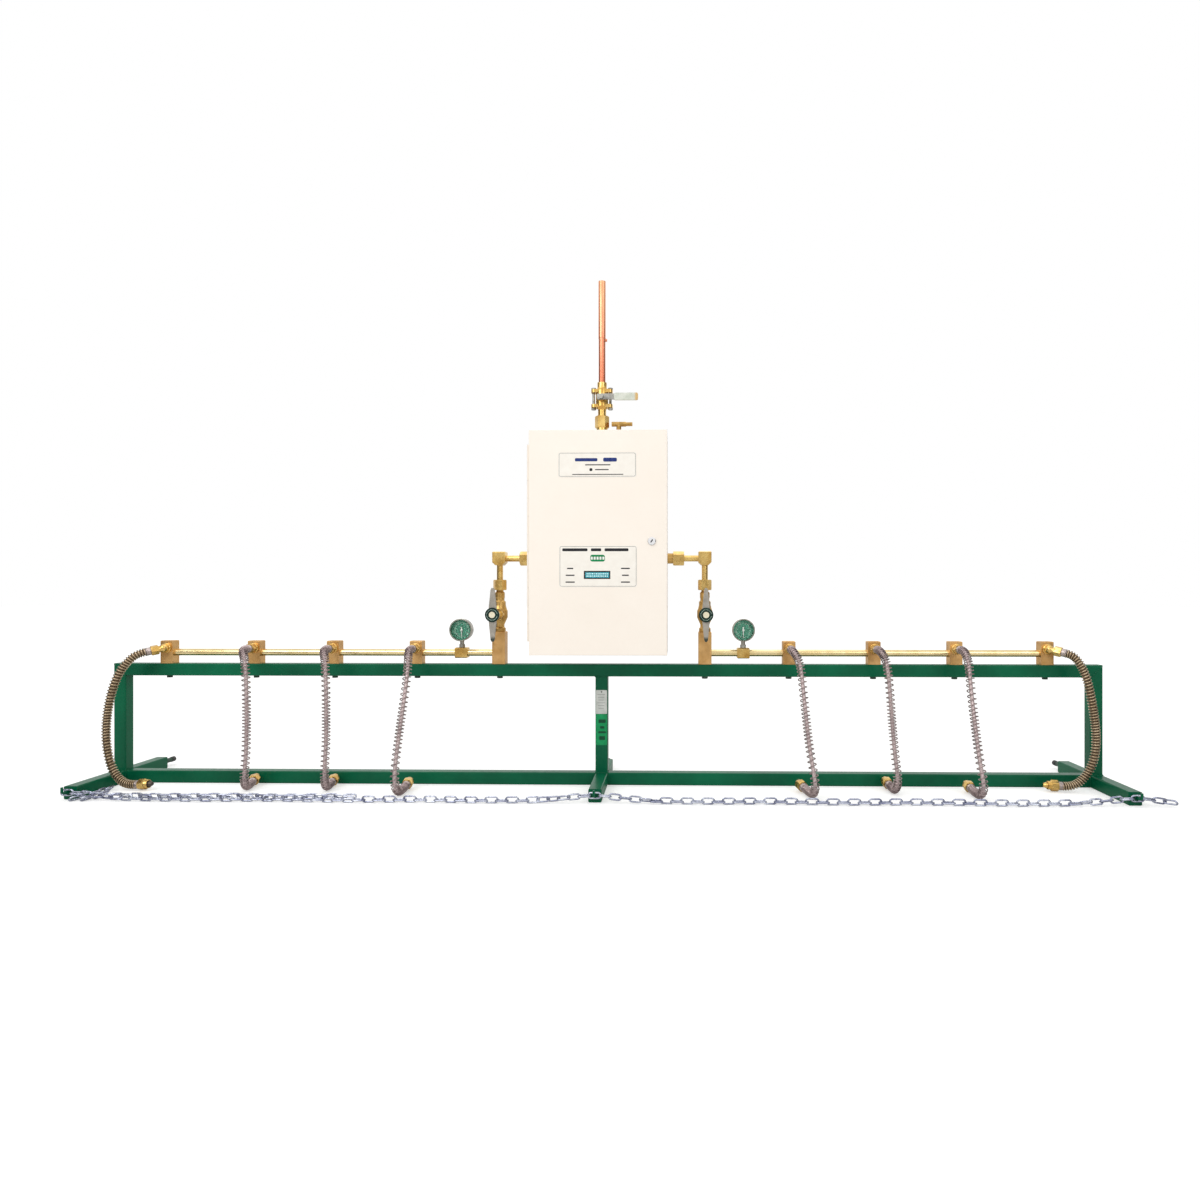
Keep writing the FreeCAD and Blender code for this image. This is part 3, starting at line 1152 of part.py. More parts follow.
def main():
    """Build every sub-part and write it as STEP."""
    build_rack()
    build_chain()
    build_stations()
    build_gauges()
    build_master_valves()
    build_risers()
    build_cabinet()
    build_regulators()
    build_outlet()
    build_pigtails()
    os.makedirs("parts", exist_ok=True)
    for name, shape in parts.items():
        shape.exportStep(f"parts/{name}.step")
    print(len(parts), "nodes,", sum(len(shape.Solids) for shape in parts.values()), "solids")


main()
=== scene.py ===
"""Looks of an oxygen manifold: a green tube rack, a brass header with spring-guarded pigtails,
a cream control cabinet with a copper outlet, and a restraint chain on the floor in front.

Lengths are in metres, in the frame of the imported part.
"""

import json
import logging
import math
from dataclasses import dataclass
from enum import Enum
from typing import Any, Callable, Iterable, Sequence

import bmesh
import bpy
import numpy as np
from mathutils import Matrix, Quaternion, Vector

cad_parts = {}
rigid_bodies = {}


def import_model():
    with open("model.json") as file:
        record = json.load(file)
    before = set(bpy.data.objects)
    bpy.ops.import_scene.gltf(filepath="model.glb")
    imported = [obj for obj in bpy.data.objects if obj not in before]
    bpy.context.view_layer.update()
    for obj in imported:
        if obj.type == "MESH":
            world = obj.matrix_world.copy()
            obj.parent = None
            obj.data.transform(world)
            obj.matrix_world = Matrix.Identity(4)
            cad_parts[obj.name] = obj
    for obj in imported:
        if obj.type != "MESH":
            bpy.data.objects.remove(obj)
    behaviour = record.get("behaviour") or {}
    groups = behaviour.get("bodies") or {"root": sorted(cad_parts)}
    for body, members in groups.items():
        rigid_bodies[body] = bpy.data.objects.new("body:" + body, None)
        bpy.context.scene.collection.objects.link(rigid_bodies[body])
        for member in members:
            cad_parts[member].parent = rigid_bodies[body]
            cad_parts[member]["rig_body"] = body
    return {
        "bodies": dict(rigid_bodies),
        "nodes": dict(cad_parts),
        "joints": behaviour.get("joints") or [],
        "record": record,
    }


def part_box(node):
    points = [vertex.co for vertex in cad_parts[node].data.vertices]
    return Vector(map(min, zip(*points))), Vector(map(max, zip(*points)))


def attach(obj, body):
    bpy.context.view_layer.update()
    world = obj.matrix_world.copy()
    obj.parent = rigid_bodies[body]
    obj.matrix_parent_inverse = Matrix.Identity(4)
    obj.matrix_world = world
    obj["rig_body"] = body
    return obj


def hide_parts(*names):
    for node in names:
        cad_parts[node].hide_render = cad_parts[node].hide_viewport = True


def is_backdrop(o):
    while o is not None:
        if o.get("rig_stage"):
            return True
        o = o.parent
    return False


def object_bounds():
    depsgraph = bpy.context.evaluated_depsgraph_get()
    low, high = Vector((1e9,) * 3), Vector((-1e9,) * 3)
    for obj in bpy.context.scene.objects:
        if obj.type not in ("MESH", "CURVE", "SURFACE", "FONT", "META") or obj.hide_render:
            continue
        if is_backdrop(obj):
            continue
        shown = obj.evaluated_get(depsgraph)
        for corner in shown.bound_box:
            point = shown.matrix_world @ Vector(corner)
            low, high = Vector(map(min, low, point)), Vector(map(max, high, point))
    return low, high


LOG = logging.getLogger("manifold")
CREASE = math.radians(32)
MERGE_DISTANCE = 1e-6
TURN = 2 * math.pi
WALL_FACING = Matrix.Rotation(math.pi / 2, 4, "X")
Colour = tuple[float, float, float, float]
Shade = tuple[int, int, int]
Point = tuple[float, float, float]
Socket = bpy.types.NodeSocket

# Pigtail routes in millimetres, from the top sleeve to the end sleeve.
ROUTES: dict[str, tuple[Point, ...]] = {
    "left_pigtail_1": (
        (-576, -58, 420), (-576, -84, 420), (-570, -105, 394), (-568, -117, 358),
        (-569, -133, 303), (-573, -152, 235), (-577, -170, 165), (-580, -183, 110),
        (-581, -190, 72), (-579, -196, 38), (-576, -176, 14), (-575, -142, 13.5),
        (-576, -112, 17)),
    "left_pigtail_2": (
        (-835, -58, 420), (-835, -84, 420), (-822, -104, 396), (-817, -111, 362),
        (-813, -115, 303), (-810, -121, 222), (-808, -126, 150), (-809, -130, 104),
        (-809, -134, 68), (-808, -137, 38), (-810, -121, 15), (-812, -98, 14), (-814, -79, 17)),
    "left_pigtail_3": (
        (-1083, -58, 420), (-1083, -84, 420), (-1065, -104, 396), (-1058, -111, 362),
        (-1053, -115, 301), (-1049, -121, 220), (-1047, -126, 149), (-1047, -130, 103),
        (-1048, -134, 67), (-1048, -137, 37), (-1051, -121, 14.5), (-1054, -98, 14),
        (-1057, -79, 17)),
    "left_pigtail_4": (
        (-1393.7, -60.1, 410.6), (-1412.7, -75.6, 405.6), (-1433, -86, 384), (-1453, -92, 354),
        (-1470, -95, 313), (-1483, -96, 262), (-1491, -97, 205), (-1491, -98, 146),
        (-1482, -99, 93), (-1465, -102, 52), (-1441, -105, 26), (-1414, -109, 15),
        (-1389, -112, 17)),
    "right_pigtail_1": (
        (576, -58, 420), (576, -84, 420), (591, -105, 395), (597, -117, 360), (600, -133, 306),
        (604, -152, 240), (609, -170, 170), (615, -183, 115), (621, -190, 76), (625, -196, 41),
        (622, -178, 15), (615, -145, 13.5), (607, -115, 17)),
    "right_pigtail_2": (
        (835, -58, 420), (835, -84, 420), (846, -104, 397), (851, -112, 364), (855, -117, 306),
        (859, -122, 228), (864, -127, 154), (868, -131, 104), (872, -134, 68), (873, -137, 38),
        (870, -121, 15), (868, -98, 14), (866, -79, 17)),
    "right_pigtail_3": (
        (1083, -58, 420), (1083, -84, 420), (1087, -105, 395), (1087, -117, 360),
        (1085, -133, 308), (1086, -152, 240), (1088, -170, 170), (1091, -184, 113),
        (1095, -192, 75), (1098, -198, 41), (1096, -179, 15), (1094, -146, 13.5),
        (1094, -115, 17)),
    "right_pigtail_4": (
        (1393.7, -60.1, 410.6), (1408.9, -72.5, 406.6), (1424, -85, 379), (1437, -90, 345),
        (1448, -91, 301), (1458, -90, 247), (1466, -89, 190), (1468, -87, 137), (1461, -84, 90),
        (1446, -81, 56), (1425, -79, 31), (1399, -77, 17), (1375, -75, 18)),
}


def screen(shade: Shade) -> Colour:
    """Turns a colour of a screen into linear light.

    Args:
        shade: Red, green and blue, from 0 to 255.

    Returns:
        The colour in linear light, with an alpha of 1.
    """
    shares = [value / 255 for value in shade]
    red, green, blue = (share / 12.92 if share <= 0.04045 else ((share + 0.055) / 1.055) ** 2.4
                        for share in shares)
    return red, green, blue, 1.0


def linked(name: str, data: Any) -> bpy.types.Object:
    """A new object in the scene's own collection."""
    thing = bpy.data.objects.new(name, data)
    bpy.context.scene.collection.objects.link(thing)
    return thing


def settled(holder: bpy.types.Object) -> bpy.types.Mesh:
    """The final mesh of an object, which is removed with its data."""
    graph = bpy.context.evaluated_depsgraph_get()
    mesh = bpy.data.meshes.new_from_object(holder.evaluated_get(graph))
    data = holder.data
    bpy.data.objects.remove(holder)
    store = bpy.data.meshes if isinstance(data, bpy.types.Mesh) else bpy.data.curves
    store.remove(data)
    return mesh


class Graph:
    """A node tree, with short calls to add and join its nodes."""

    family = "ShaderNode"

    def __init__(self, tree: bpy.types.NodeTree) -> None:
        """Empties the tree and keeps it."""
        self.tree = tree
        tree.nodes.clear()

    def add(self, kind: str, inputs: dict[int | str, Any] | None = None,
            **settings: Any) -> bpy.types.Node:
        """Adds a node.

        Args:
            kind: The node's type, which may leave out the name of the graph's family.
            inputs: A value or a socket for each input, by its name or its number.
            **settings: The node's own settings.

        Returns:
            The new node.
        """
        node = self.tree.nodes.new(kind if "Node" in kind else self.family + kind)
        for name, value in settings.items():
            setattr(node, name, value)
        for name, value in (inputs or {}).items():
            if isinstance(value, Socket):
                self.tree.links.new(value, node.inputs[name])
            else:
                node.inputs[name].default_value = value
        return node

    def out(self, kind: str, inputs: dict[int | str, Any] | None = None,
            output: int | str = 0, **settings: Any) -> Socket:
        """One output of a new node, by its name or its number."""
        return self.add(kind, inputs, **settings).outputs[output]

    def maths(self, operation: str, *values: Any) -> Socket:
        """The result of one Math node on the given values."""
        return self.out("ShaderNodeMath", dict(enumerate(values)), operation=operation)

    def times(self, *values: Any) -> Socket:
        """The product of two values."""
        return self.maths("MULTIPLY", *values)

    def vector(self, operation: str, *values: Any, output: str = "Vector") -> Socket:
        """What one Vector Math node gives."""
        return self.out("ShaderNodeVectorMath", dict(enumerate(values)), output,
                        operation=operation)


class Paintbox(Graph):
    """A material's node tree, with the patterns that the finishes are mixed from."""

    def place(self, stretch: Point = (1, 1, 1)) -> Socket:
        """Object coordinates, stretched along each axis."""
        return self.out("Mapping", {"Vector": self.out("TexCoord", output="Object"),
                                    "Scale": stretch})

    def noise(self, size: float, detail: float = 3.0, rough: float = 0.55,
              stretch: Point = (1, 1, 1)) -> Socket:
        """Cloudy noise.

        Args:
            size: The size of one cloud in metres.
            detail: How many finer layers it has.
            rough: How strong the finer layers are.
            stretch: How much finer it is along each axis.

        Returns:
            The noise, from 0 to 1.
        """
        return self.out("TexNoise", {"Vector": self.place(stretch), "Scale": 1 / size,
                                     "Detail": detail, "Roughness": rough})

    def axis(self, index: int) -> Socket:
        """One of the object coordinates, by its number."""
        return self.out("SeparateXYZ", {0: self.place()}, index)

    def fade(self, value: Any, low: float, high: float, to_low: float = 0.0,
             to_high: float = 1.0) -> Socket:
        """Maps low to high onto to_low to to_high, and holds the ends."""
        return self.out("MapRange", {"Value": value, "From Min": low, "From Max": high,
                                     "To Min": to_low, "To Max": to_high})

    def ramp(self, value: Any, *stops: tuple[float, Shade]) -> Socket:
        """A colour ramp with the given places and colours."""
        node = self.add("ValToRGB", {0: value})
        elements = node.color_ramp.elements
        while len(elements) < len(stops):
            elements.new(0.5)
        for element, (position, shade) in zip(elements, stops):
            element.position = position
            element.color = screen(shade)
        return node.outputs[0]

    def tones(self, size: float, detail: float, dark: Shade, light: Shade, low: float = 0.3,
              high: float = 0.7) -> Socket:
        """Two colours in soft clouds: dark up to low, and light from high."""
        return self.ramp(self.noise(size, detail), (low, dark), (high, light))

    def mix(self, share: Any, first: Any, second: Any) -> Socket:
        """A mix of two colours, each a socket or a shade."""
        first, second = (screen(value) if isinstance(value, tuple) else value
                         for value in (first, second))
        return self.out("Mix", {0: share, 6: first, 7: second}, 2, data_type="RGBA")

    def edges(self, radius: float) -> tuple[Socket, Socket]:
        """Rounded edges.

        Args:
            radius: How far from an edge the rounding starts.

        Returns:
            The rounded normal, and a mask that is 1 on the edges.
        """
        soft = self.out("Bevel", {"Radius": radius}, samples=4)
        hard = self.out("NewGeometry", output="Normal")
        near = self.vector("DOT_PRODUCT", soft, hard, output="Value")
        return soft, self.fade(near, 0.99, 0.86)

    def bump(self, height: Any, strength: float, depth: float,
             normal: Socket | None = None) -> Socket:
        """A bump whose relief is this deep in metres."""
        inputs = {"Height": height, "Strength": strength, "Distance": depth}
        if normal is not None:
            inputs["Normal"] = normal
        return self.out("Bump", inputs)

    def surface(self, **inputs: Any) -> None:
        """Ends the tree in a Principled surface; an input's spaces are written as underscores."""
        named = {name.replace("_", " "): value for name, value in inputs.items()}
        self.add("OutputMaterial", {"Surface": self.out("BsdfPrincipled", named)})


class Grain(Enum):
    """How a metal skin was made: its noise, then the strength and the depth of its bump."""

    CAST = ((0.0014, 3.0, 0.6), 0.4, 0.00008)
    TURNED = ((0.001, 2.0, 0.5, (1, 1, 0.1)), 0.08, 0.00002)
    DRAWN = ((0.0012, 2.0, 0.5, (0.02, 1, 1)), 0.08, 0.00002)
    PLATED = ((0.004, 2.0), 0.12, 0.0002)


@dataclass(frozen=True)
class Finish:
    """One surface finish. Its material is made once, when it is first used."""

    name: str
    slot: str

    def material(self) -> bpy.types.Material:
        """The finish's material."""
        found = bpy.data.materials.get(self.name)
        if found is None:
            found = bpy.data.materials.new(self.name)
            found.use_nodes = True
            self.paint(Paintbox(found.node_tree))
        return found

    def paint(self, box: Paintbox) -> None:
        """Fills the material's node tree."""
        raise NotImplementedError


@dataclass(frozen=True)
class Metal(Finish):
    """Bare or plated metal, with clouds of tarnish, and bright edges that are part wear and part
    painted highlight.
    """

    light: Shade
    dark: Shade
    tarnish: Shade
    tarnish_share: float = 0.35
    roughness: float = 0.28
    grain: Grain = Grain.TURNED
    edge: float = 0.0006

    def paint(self, box: Paintbox) -> None:
        """Two tones in soft clouds, stains, bright edges and the grain of its making."""
        tone = box.tones(0.035, 5.0, self.dark, self.light, 0.32, 0.68)
        stain = box.fade(box.noise(0.026, 6.0, 0.6), 0.5, 0.72, 0.0, self.tarnish_share)
        tone = box.mix(stain, tone, self.tarnish)
        soft, worn = box.edges(self.edge)
        # Bright edges: the edge mask (worn) mixes the tone towards the light tone, part wear and
        # part painted highlight.
        tone = box.mix(box.times(worn, 0.45), tone, self.light)
        shine = box.fade(box.noise(0.008, 6.0, 0.6), 0.3, 0.75, self.roughness * 0.7,
                         self.roughness * 1.45)
        noise, strength, depth = self.grain.value
        relief = box.bump(box.noise(*noise), strength, depth, soft)
        box.surface(Base_Color=tone, Metallic=1.0, Roughness=shine, Normal=relief)


@dataclass(frozen=True)
class Enamel(Finish):
    """Sprayed paint over steel, with orange peel, a soft coat and thin marks of use."""

    light: Shade
    dark: Shade
    scuff: Shade
    roughness: float = 0.34
    peel: float = 0.00012
    coat: float = 0.06
    scuff_share: float = 0.5
    specular: float = 0.22

    def paint(self, box: Paintbox) -> None:
        """Slow clouds of tone, fine scratches, worn edges and the relief of the spray."""
        tone = box.tones(0.21, 4.0, self.dark, self.light)
        fine = box.noise(0.012, 8.0, 0.7)
        tone = box.mix(box.fade(fine, 0.5, 0.8, 0.0, 0.1), tone, self.scuff)
        streak = box.noise(0.0022, 3.0, 0.6, (0.06, 1, 1))
        patch = box.fade(box.noise(0.09, 3.0), 0.52, 0.66)
        scratch = box.times(box.fade(streak, 0.69, 0.73), patch)
        tone = box.mix(box.times(scratch, self.scuff_share), tone, self.scuff)
        soft, worn = box.edges(0.0012)
        ragged = box.times(worn, box.fade(box.noise(0.006, 4.0), 0.45, 0.62))
        tone = box.mix(box.times(ragged, self.scuff_share), tone, self.scuff)
        shine = box.fade(fine, 0.3, 0.7, self.roughness * 0.85, self.roughness * 1.3)
        relief = box.bump(box.noise(0.0024, 2.0, 0.4), 0.35, self.peel, soft)
        box.surface(Base_Color=tone, Roughness=shine, Normal=relief, Coat_Weight=self.coat,
                    Coat_Roughness=0.12, Specular_IOR_Level=self.specular)


@dataclass(frozen=True)
class Moulded(Finish):
    """Moulded plastic or rubber, with a fine texture and a little dust."""

    light: Shade
    dark: Shade
    roughness: float = 0.5
    texture: float = 0.00006
    specular: float = 0.25

    def paint(self, box: Paintbox) -> None:
        """Slow changes of tone, and dust in patches."""
        shine = box.fade(box.noise(0.006, 5.0), 0.3, 0.7, self.roughness * 0.85,
                         self.roughness * 1.15)
        self.skin(box, box.tones(0.02, 5.0, self.dark, self.light), shine)

    def skin(self, box: Paintbox, tone: Socket, shine: Any) -> None:
        """Ends the tree with the fine even grain of the mould."""
        relief = box.bump(box.noise(0.0005, 2.0), 0.4, self.texture, box.edges(0.0005)[0])
        box.surface(Base_Color=tone, Roughness=shine, Normal=relief,
                    Specular_IOR_Level=self.specular)


@dataclass(frozen=True)
class DippedMoulding(Moulded):
    """A moulded piece whose colour changes past a height or a reach."""

    tip: Shade = (0, 0, 0)
    along: int = 2
    change: float = 0.0
    spread: float = 0.003

    def paint(self, box: Paintbox) -> None:
        """The moulding's own colour up to the change, and the tip's colour past it."""
        past = box.fade(box.axis(self.along), self.change - self.spread,
                        self.change + self.spread)
        tone = box.mix(past, box.tones(0.02, 5.0, self.dark, self.light), self.tip)
        self.skin(box, tone, self.roughness)


@dataclass(frozen=True)
class Copper(Finish):
    """Drawn copper pipe that reddens towards its lower end."""

    low: float
    high: float

    def paint(self, box: Paintbox) -> None:
        """Pale orange above, redder below, with tarnish that runs down the pipe."""
        run = box.noise(0.05, 6.0, 0.65, (4, 4, 0.35))
        tone = box.ramp(box.fade(box.axis(2), self.low, self.high), (0.0, (200, 116, 88)),
                        (0.45, (222, 146, 112)), (1.0, (236, 170, 128)))
        tone = box.mix(box.fade(run, 0.48, 0.72, 0.0, 0.5), tone, (176, 98, 72))
        grain = box.noise(0.0012, 2.0, 0.5, (1, 1, 0.03))
        relief = box.bump(grain, 0.08, 0.00002, box.edges(0.0005)[0])
        box.surface(Base_Color=tone, Metallic=1.0, Normal=relief,
                    Roughness=box.fade(run, 0.3, 0.7, 0.2, 0.42))


@dataclass(frozen=True)
class Braid(Finish):
    """A hose's woven metal braid, drawn along the hose's own UV map."""

    light: Shade
    dark: Shade
    strands: int = 12
    pitch: float = 0.0075

    def paint(self, box: Paintbox) -> None:
        """Two families of strands that cross, each with its relief, and painted shade that darkens
        the gaps between them.
        """
        parts = box.add("SeparateXYZ", {0: box.out("TexCoord", output="UV")}).outputs
        around = box.times(parts[0], TURN * self.strands)
        along = box.times(parts[1], TURN / self.pitch)
        weave = box.maths("MAXIMUM", *(box.maths("SINE", box.maths(way, around, along))
                                       for way in ("ADD", "SUBTRACT")))
        # Painted shade: the tone falls to the dark colour in the gaps between the strands, and
        # rises to the light colour on their crests.
        tone = box.ramp(box.fade(weave, -0.4, 1.0), (0.0, self.dark), (0.75, self.light))
        tone = box.mix(box.fade(box.noise(0.03, 5.0), 0.4, 0.75, 0.0, 0.35), tone, self.dark)
        box.surface(Base_Color=tone, Metallic=0.6, Roughness=0.4,
                    Normal=box.bump(weave, 0.7, 0.0003))


@dataclass(frozen=True)
class Clear(Finish):
    """Clear glass or acrylic with faint smears."""

    tint: Shade

    def paint(self, box: Paintbox) -> None:
        """Transmission, with a roughness that the smears raise a little."""
        smear = box.fade(box.noise(0.02, 5.0, 0.6, (1, 1, 0.4)), 0.45, 0.75, 0.01, 0.07)
        box.surface(Base_Color=screen(self.tint), Roughness=smear, IOR=1.2,
                    Transmission_Weight=1.0)


@dataclass(frozen=True)
class Display(Finish):
    """A lit liquid crystal panel with its fine grid of dots."""

    glow: Shade
    dot: float = 0.0009

    def paint(self, box: Paintbox) -> None:
        """An even glow, darker along the lines between its dots."""
        lines = [box.maths("SINE", box.times(box.axis(i), TURN / self.dot)) for i in (0, 2)]
        grid = box.fade(box.maths("MAXIMUM", *lines), 0.8, 1.0)
        tone = box.mix(box.times(grid, 0.35), self.glow, (10, 70, 80))
        box.surface(Base_Color=tone, Roughness=0.25, Emission_Color=tone,
                    Emission_Strength=0.25)


GREEN = Enamel("green_enamel", "green_paint", (0, 102, 68), (0, 78, 52), (58, 124, 92),
               roughness=0.32, scuff_share=0.25, specular=0.14)
CREAM = Enamel("cream_powder_coat", "cream_paint", (253, 244, 233), (250, 240, 228),
               (236, 224, 208), roughness=0.42, peel=0.00008, scuff_share=0.2)
BRASS = Metal("bright_brass", "brass", (240, 206, 130), (204, 160, 84), (132, 92, 42), 0.35, 0.26)
BLOCK_BRASS = Metal("milled_brass", "brass", (220, 178, 120), (196, 152, 94), (140, 100, 56),
                    0.3, 0.4, Grain.CAST)
VALVE_BRASS = Metal("dull_valve_brass", "brass", (212, 174, 106), (164, 128, 70),
                    (104, 76, 40), 0.4, 0.36, Grain.CAST)
PIPE_BRASS = Metal("drawn_brass_pipe", "brass", (238, 220, 172), (222, 198, 142),
                   (176, 136, 78), 0.1, 0.24, Grain.DRAWN)
BRONZE_WIRE = Metal("bronze_guard_wire", "hose_bronze", (208, 188, 158), (152, 130, 102),
                    (88, 68, 50), 0.35, 0.34, Grain.PLATED, 0.0002)
STEEL_WIRE = Metal("steel_guard_wire", "hose_steel", (190, 172, 170), (132, 116, 116),
                   (80, 68, 72), 0.35, 0.34, Grain.PLATED, 0.0002)
SLEEVE_STEEL = Metal("crimped_sleeve_steel", "zinc", (206, 192, 186), (160, 146, 142),
                     (108, 94, 88), 0.3, 0.34, Grain.PLATED)
ZINC = Metal("bright_zinc", "zinc", (216, 220, 232), (134, 138, 164), (70, 70, 100), 0.45, 0.26,
             Grain.PLATED, 0.0005)
BOLT_STEEL = Metal("blackened_bolt_steel", "zinc", (70, 88, 78), (38, 54, 46), (24, 30, 28),
                   0.4, 0.42, Grain.PLATED)
GREY_STEEL = Metal("grey_steel", "zinc", (186, 184, 176), (132, 130, 124), (84, 80, 72), 0.35,
                   0.34, Grain.PLATED)
CHROME = Metal("chrome", "chrome", (112, 112, 110), (56, 56, 56), (28, 28, 28), 0.4, 0.16,
               Grain.PLATED, 0.0004)
GAUGE_STEEL = Metal("gauge_case_steel", "grey_metal", (196, 194, 184), (146, 142, 132),
                    (92, 84, 74), 0.3, 0.28)
CAP_STEEL = Metal("dark_cap_steel", "zinc", (104, 96, 88), (62, 56, 52), (36, 32, 30), 0.3, 0.4)
COPPER = Copper("drawn_copper", "copper", 1.24, 1.54)
STEEL_BRAID = Braid("steel_braid", "hose_steel", (232, 214, 212), (164, 144, 144))
# The bronze braid is far darker than the bronze wire: a bronze tone with painted shade for the
# dark gaps between the guard's turns.
BRONZE_BRAID = Braid("bronze_braid", "hose_bronze", (112, 90, 64), (44, 32, 24))
HANDLE_GREY = DippedMoulding("grey_lever_casting", "grey_metal", (170, 164, 154),
                             (146, 140, 130), 0.42, 0.0001, tip=(62, 68, 60), along=2,
                             change=0.458, spread=-0.004)
LEVER_GRIP = DippedMoulding("pale_lever_grip", "green_plastic", (226, 228, 218),
                            (200, 206, 192), 0.4, tip=(214, 178, 118), along=0, change=0.104)
DIAL_GREEN = Moulded("dial_green", "dial_green", (0, 62, 46), (0, 48, 36), specular=0.1)
CAP_GREEN = Moulded("hub_cap_green", "green_plastic", (6, 48, 38), (2, 30, 26), 0.36)
CAP_CREAM = Moulded("hub_cap_cream", "white_paint", (240, 232, 206), (222, 212, 184), 0.45)
PALE_GREEN = Moulded("pale_green_print", "dial_green", (226, 242, 230), (200, 226, 208))
WHITE = Moulded("white_print", "white_paint", (246, 246, 242), (232, 232, 226))
PLATE = Moulded("plate_film", "white_paint", (250, 245, 236), (244, 238, 228), 0.36, 0.00002)
INK = Moulded("dark_ink", "dark_plastic", (46, 46, 50), (28, 28, 32))
NAVY = Moulded("navy_ink", "dark_plastic", (44, 62, 128), (28, 44, 104))
GREY_LINE = Moulded("grey_line", "grey_metal", (148, 148, 146), (126, 126, 124))
FIELD_GREEN = Moulded("green_field", "green_plastic", (30, 146, 88), (10, 118, 66), 0.45)
LABEL_GREEN = Moulded("green_label", "green_plastic", (20, 152, 92), (4, 128, 72), 0.4)
LABEL_SILVER = Moulded("silver_label", "grey_metal", (206, 208, 204), (182, 186, 180), 0.34)
LABEL_MARK = Moulded("dark_green_mark", "dark_plastic", (10, 84, 54), (0, 56, 36), 0.45)
RUBBER = Moulded("black_rubber", "black_rubber", (44, 44, 44), (26, 26, 28), 0.62, 0.0001)
BLACK = Moulded("black_plastic", "dark_plastic", (40, 40, 42), (24, 24, 26), 0.45)
BOARD = Moulded("circuit_board", "dark_plastic", (20, 86, 52), (8, 60, 34), 0.4)
GLASS = Clear("clear_glass", "clear", (252, 255, 253))
LCD = Display("cyan_display", "green_plastic", (34, 142, 160))
LCD_TEXT = Display("pale_cyan_text", "green_plastic", (196, 240, 246))

# The two outer pigtails have a thicker core, and a guard of bronze wire.
THICK_HOSE = {"wire": BRONZE_WIRE, "braid": BRONZE_BRAID, "turns": 58.0, "close": 0.1,
              "wire_radius": 0.0021, "core_radius": 0.0092}


class Recipe(Graph):
    """A Geometry Nodes tree with named sizes, which ends in Realize Instances and Set Material."""

    family = "GeometryNode"

    def __init__(self, name: str, lengths: Sequence[str], counts: Sequence[str] = ()) -> None:
        """Starts the tree with its inputs.

        Args:
            name: The tree's name.
            lengths: The names of its inputs that are real numbers.
            counts: The names of its inputs that are whole numbers.
        """
        super().__init__(bpy.data.node_groups.new(name, "GeometryNodeTree"))
        kinds = {"Geometry": "Geometry", "Material": "Material",
                 **dict.fromkeys(lengths, "Float"), **dict.fromkeys(counts, "Int")}
        for way, label in (("OUTPUT", "Geometry"), *(("INPUT", label) for label in kinds)):
            self.tree.interface.new_socket(label, in_out=way,
                                           socket_type=f"NodeSocket{kinds[label]}")
        entry = self.add("NodeGroupInput")
        self.sizes = {socket.name: socket for socket in entry.outputs if socket.name}

    def end(self, geometry: Socket) -> "Recipe":
        """Realizes the instances, sets the material and ends the tree."""
        real = self.out("RealizeInstances", {0: geometry})
        done = self.out("SetMaterial", {"Geometry": real, "Material": self.sizes["Material"]})
        self.add("NodeGroupOutput", {0: done})
        return self

    def pipe(self, curve: Socket, radius: Any, sides: int) -> Socket:
        """A round bar of the given radius along a curve."""
        ring = self.out("CurvePrimitiveCircle", {"Resolution": sides, "Radius": radius}, "Curve")
        return self.out("CurveToMesh", {"Curve": curve, "Profile Curve": ring,
                                        "Fill Caps": True})

    def spot(self, **parts: Any) -> Socket:
        """A vector with the given parts."""
        return self.out("ShaderNodeCombineXYZ", parts)

    def grow(self, host: bpy.types.Mesh, finish: Finish, **sizes: Any) -> bpy.types.Mesh:
        """Runs the tree on a host mesh.

        Args:
            host: The mesh that the tree starts from; it is removed.
            finish: The finish of what the tree makes.
            **sizes: The tree's named sizes, with underscores for spaces.

        Returns:
            The result as a plain mesh.
        """
        holder = linked(self.tree.name, host)
        modifier = holder.modifiers.new("grow", "NODES")
        modifier.node_group = self.tree
        values = {name.replace("_", " "): value for name, value in sizes.items()}
        values["Material"] = finish.material()
        for item in self.tree.interface.items_tree:
            if item.in_out == "INPUT" and item.name in values:
                modifier[item.identifier] = values[item.name]
        return settled(holder)


def helix_recipe() -> Recipe:
    """A wire wound round a path, closer at its ends: a spring guard or a thread."""
    recipe = Recipe("wound_wire", ("Coil Radius", "Wire Radius", "Turns", "Close"), ("Steps",))
    sizes, maths, times = recipe.sizes, recipe.maths, recipe.times
    curve = recipe.out("MeshToCurve", {0: sizes["Geometry"]})
    fine = recipe.out("ResampleCurve", {"Curve": curve, "Count": sizes["Steps"]}, mode="COUNT")
    share = recipe.out("SplineParameter", output="Factor")
    slow, fast = (maths("SINE", times(share, waves * TURN)) for waves in (1, 2))
    extra = times(maths("ADD", slow, times(fast, 0.5)), sizes["Close"])
    phase = maths("ADD", share, maths("DIVIDE", extra, TURN))
    angle = times(times(phase, sizes["Turns"]), TURN)
    normal = recipe.out("InputNormal", output="Normal")
    across = recipe.vector("CROSS_PRODUCT", recipe.out("InputTangent"), normal)
    parts = [recipe.out("ShaderNodeVectorMath", {
        0: way, "Scale": times(maths(wave, angle), sizes["Coil Radius"])}, operation="SCALE")
        for way, wave in ((normal, "COSINE"), (across, "SINE"))]
    wound = recipe.out("SetPosition", {"Geometry": fine, "Offset": recipe.vector("ADD", *parts)})
    return recipe.end(recipe.pipe(wound, sizes["Wire Radius"], 6))


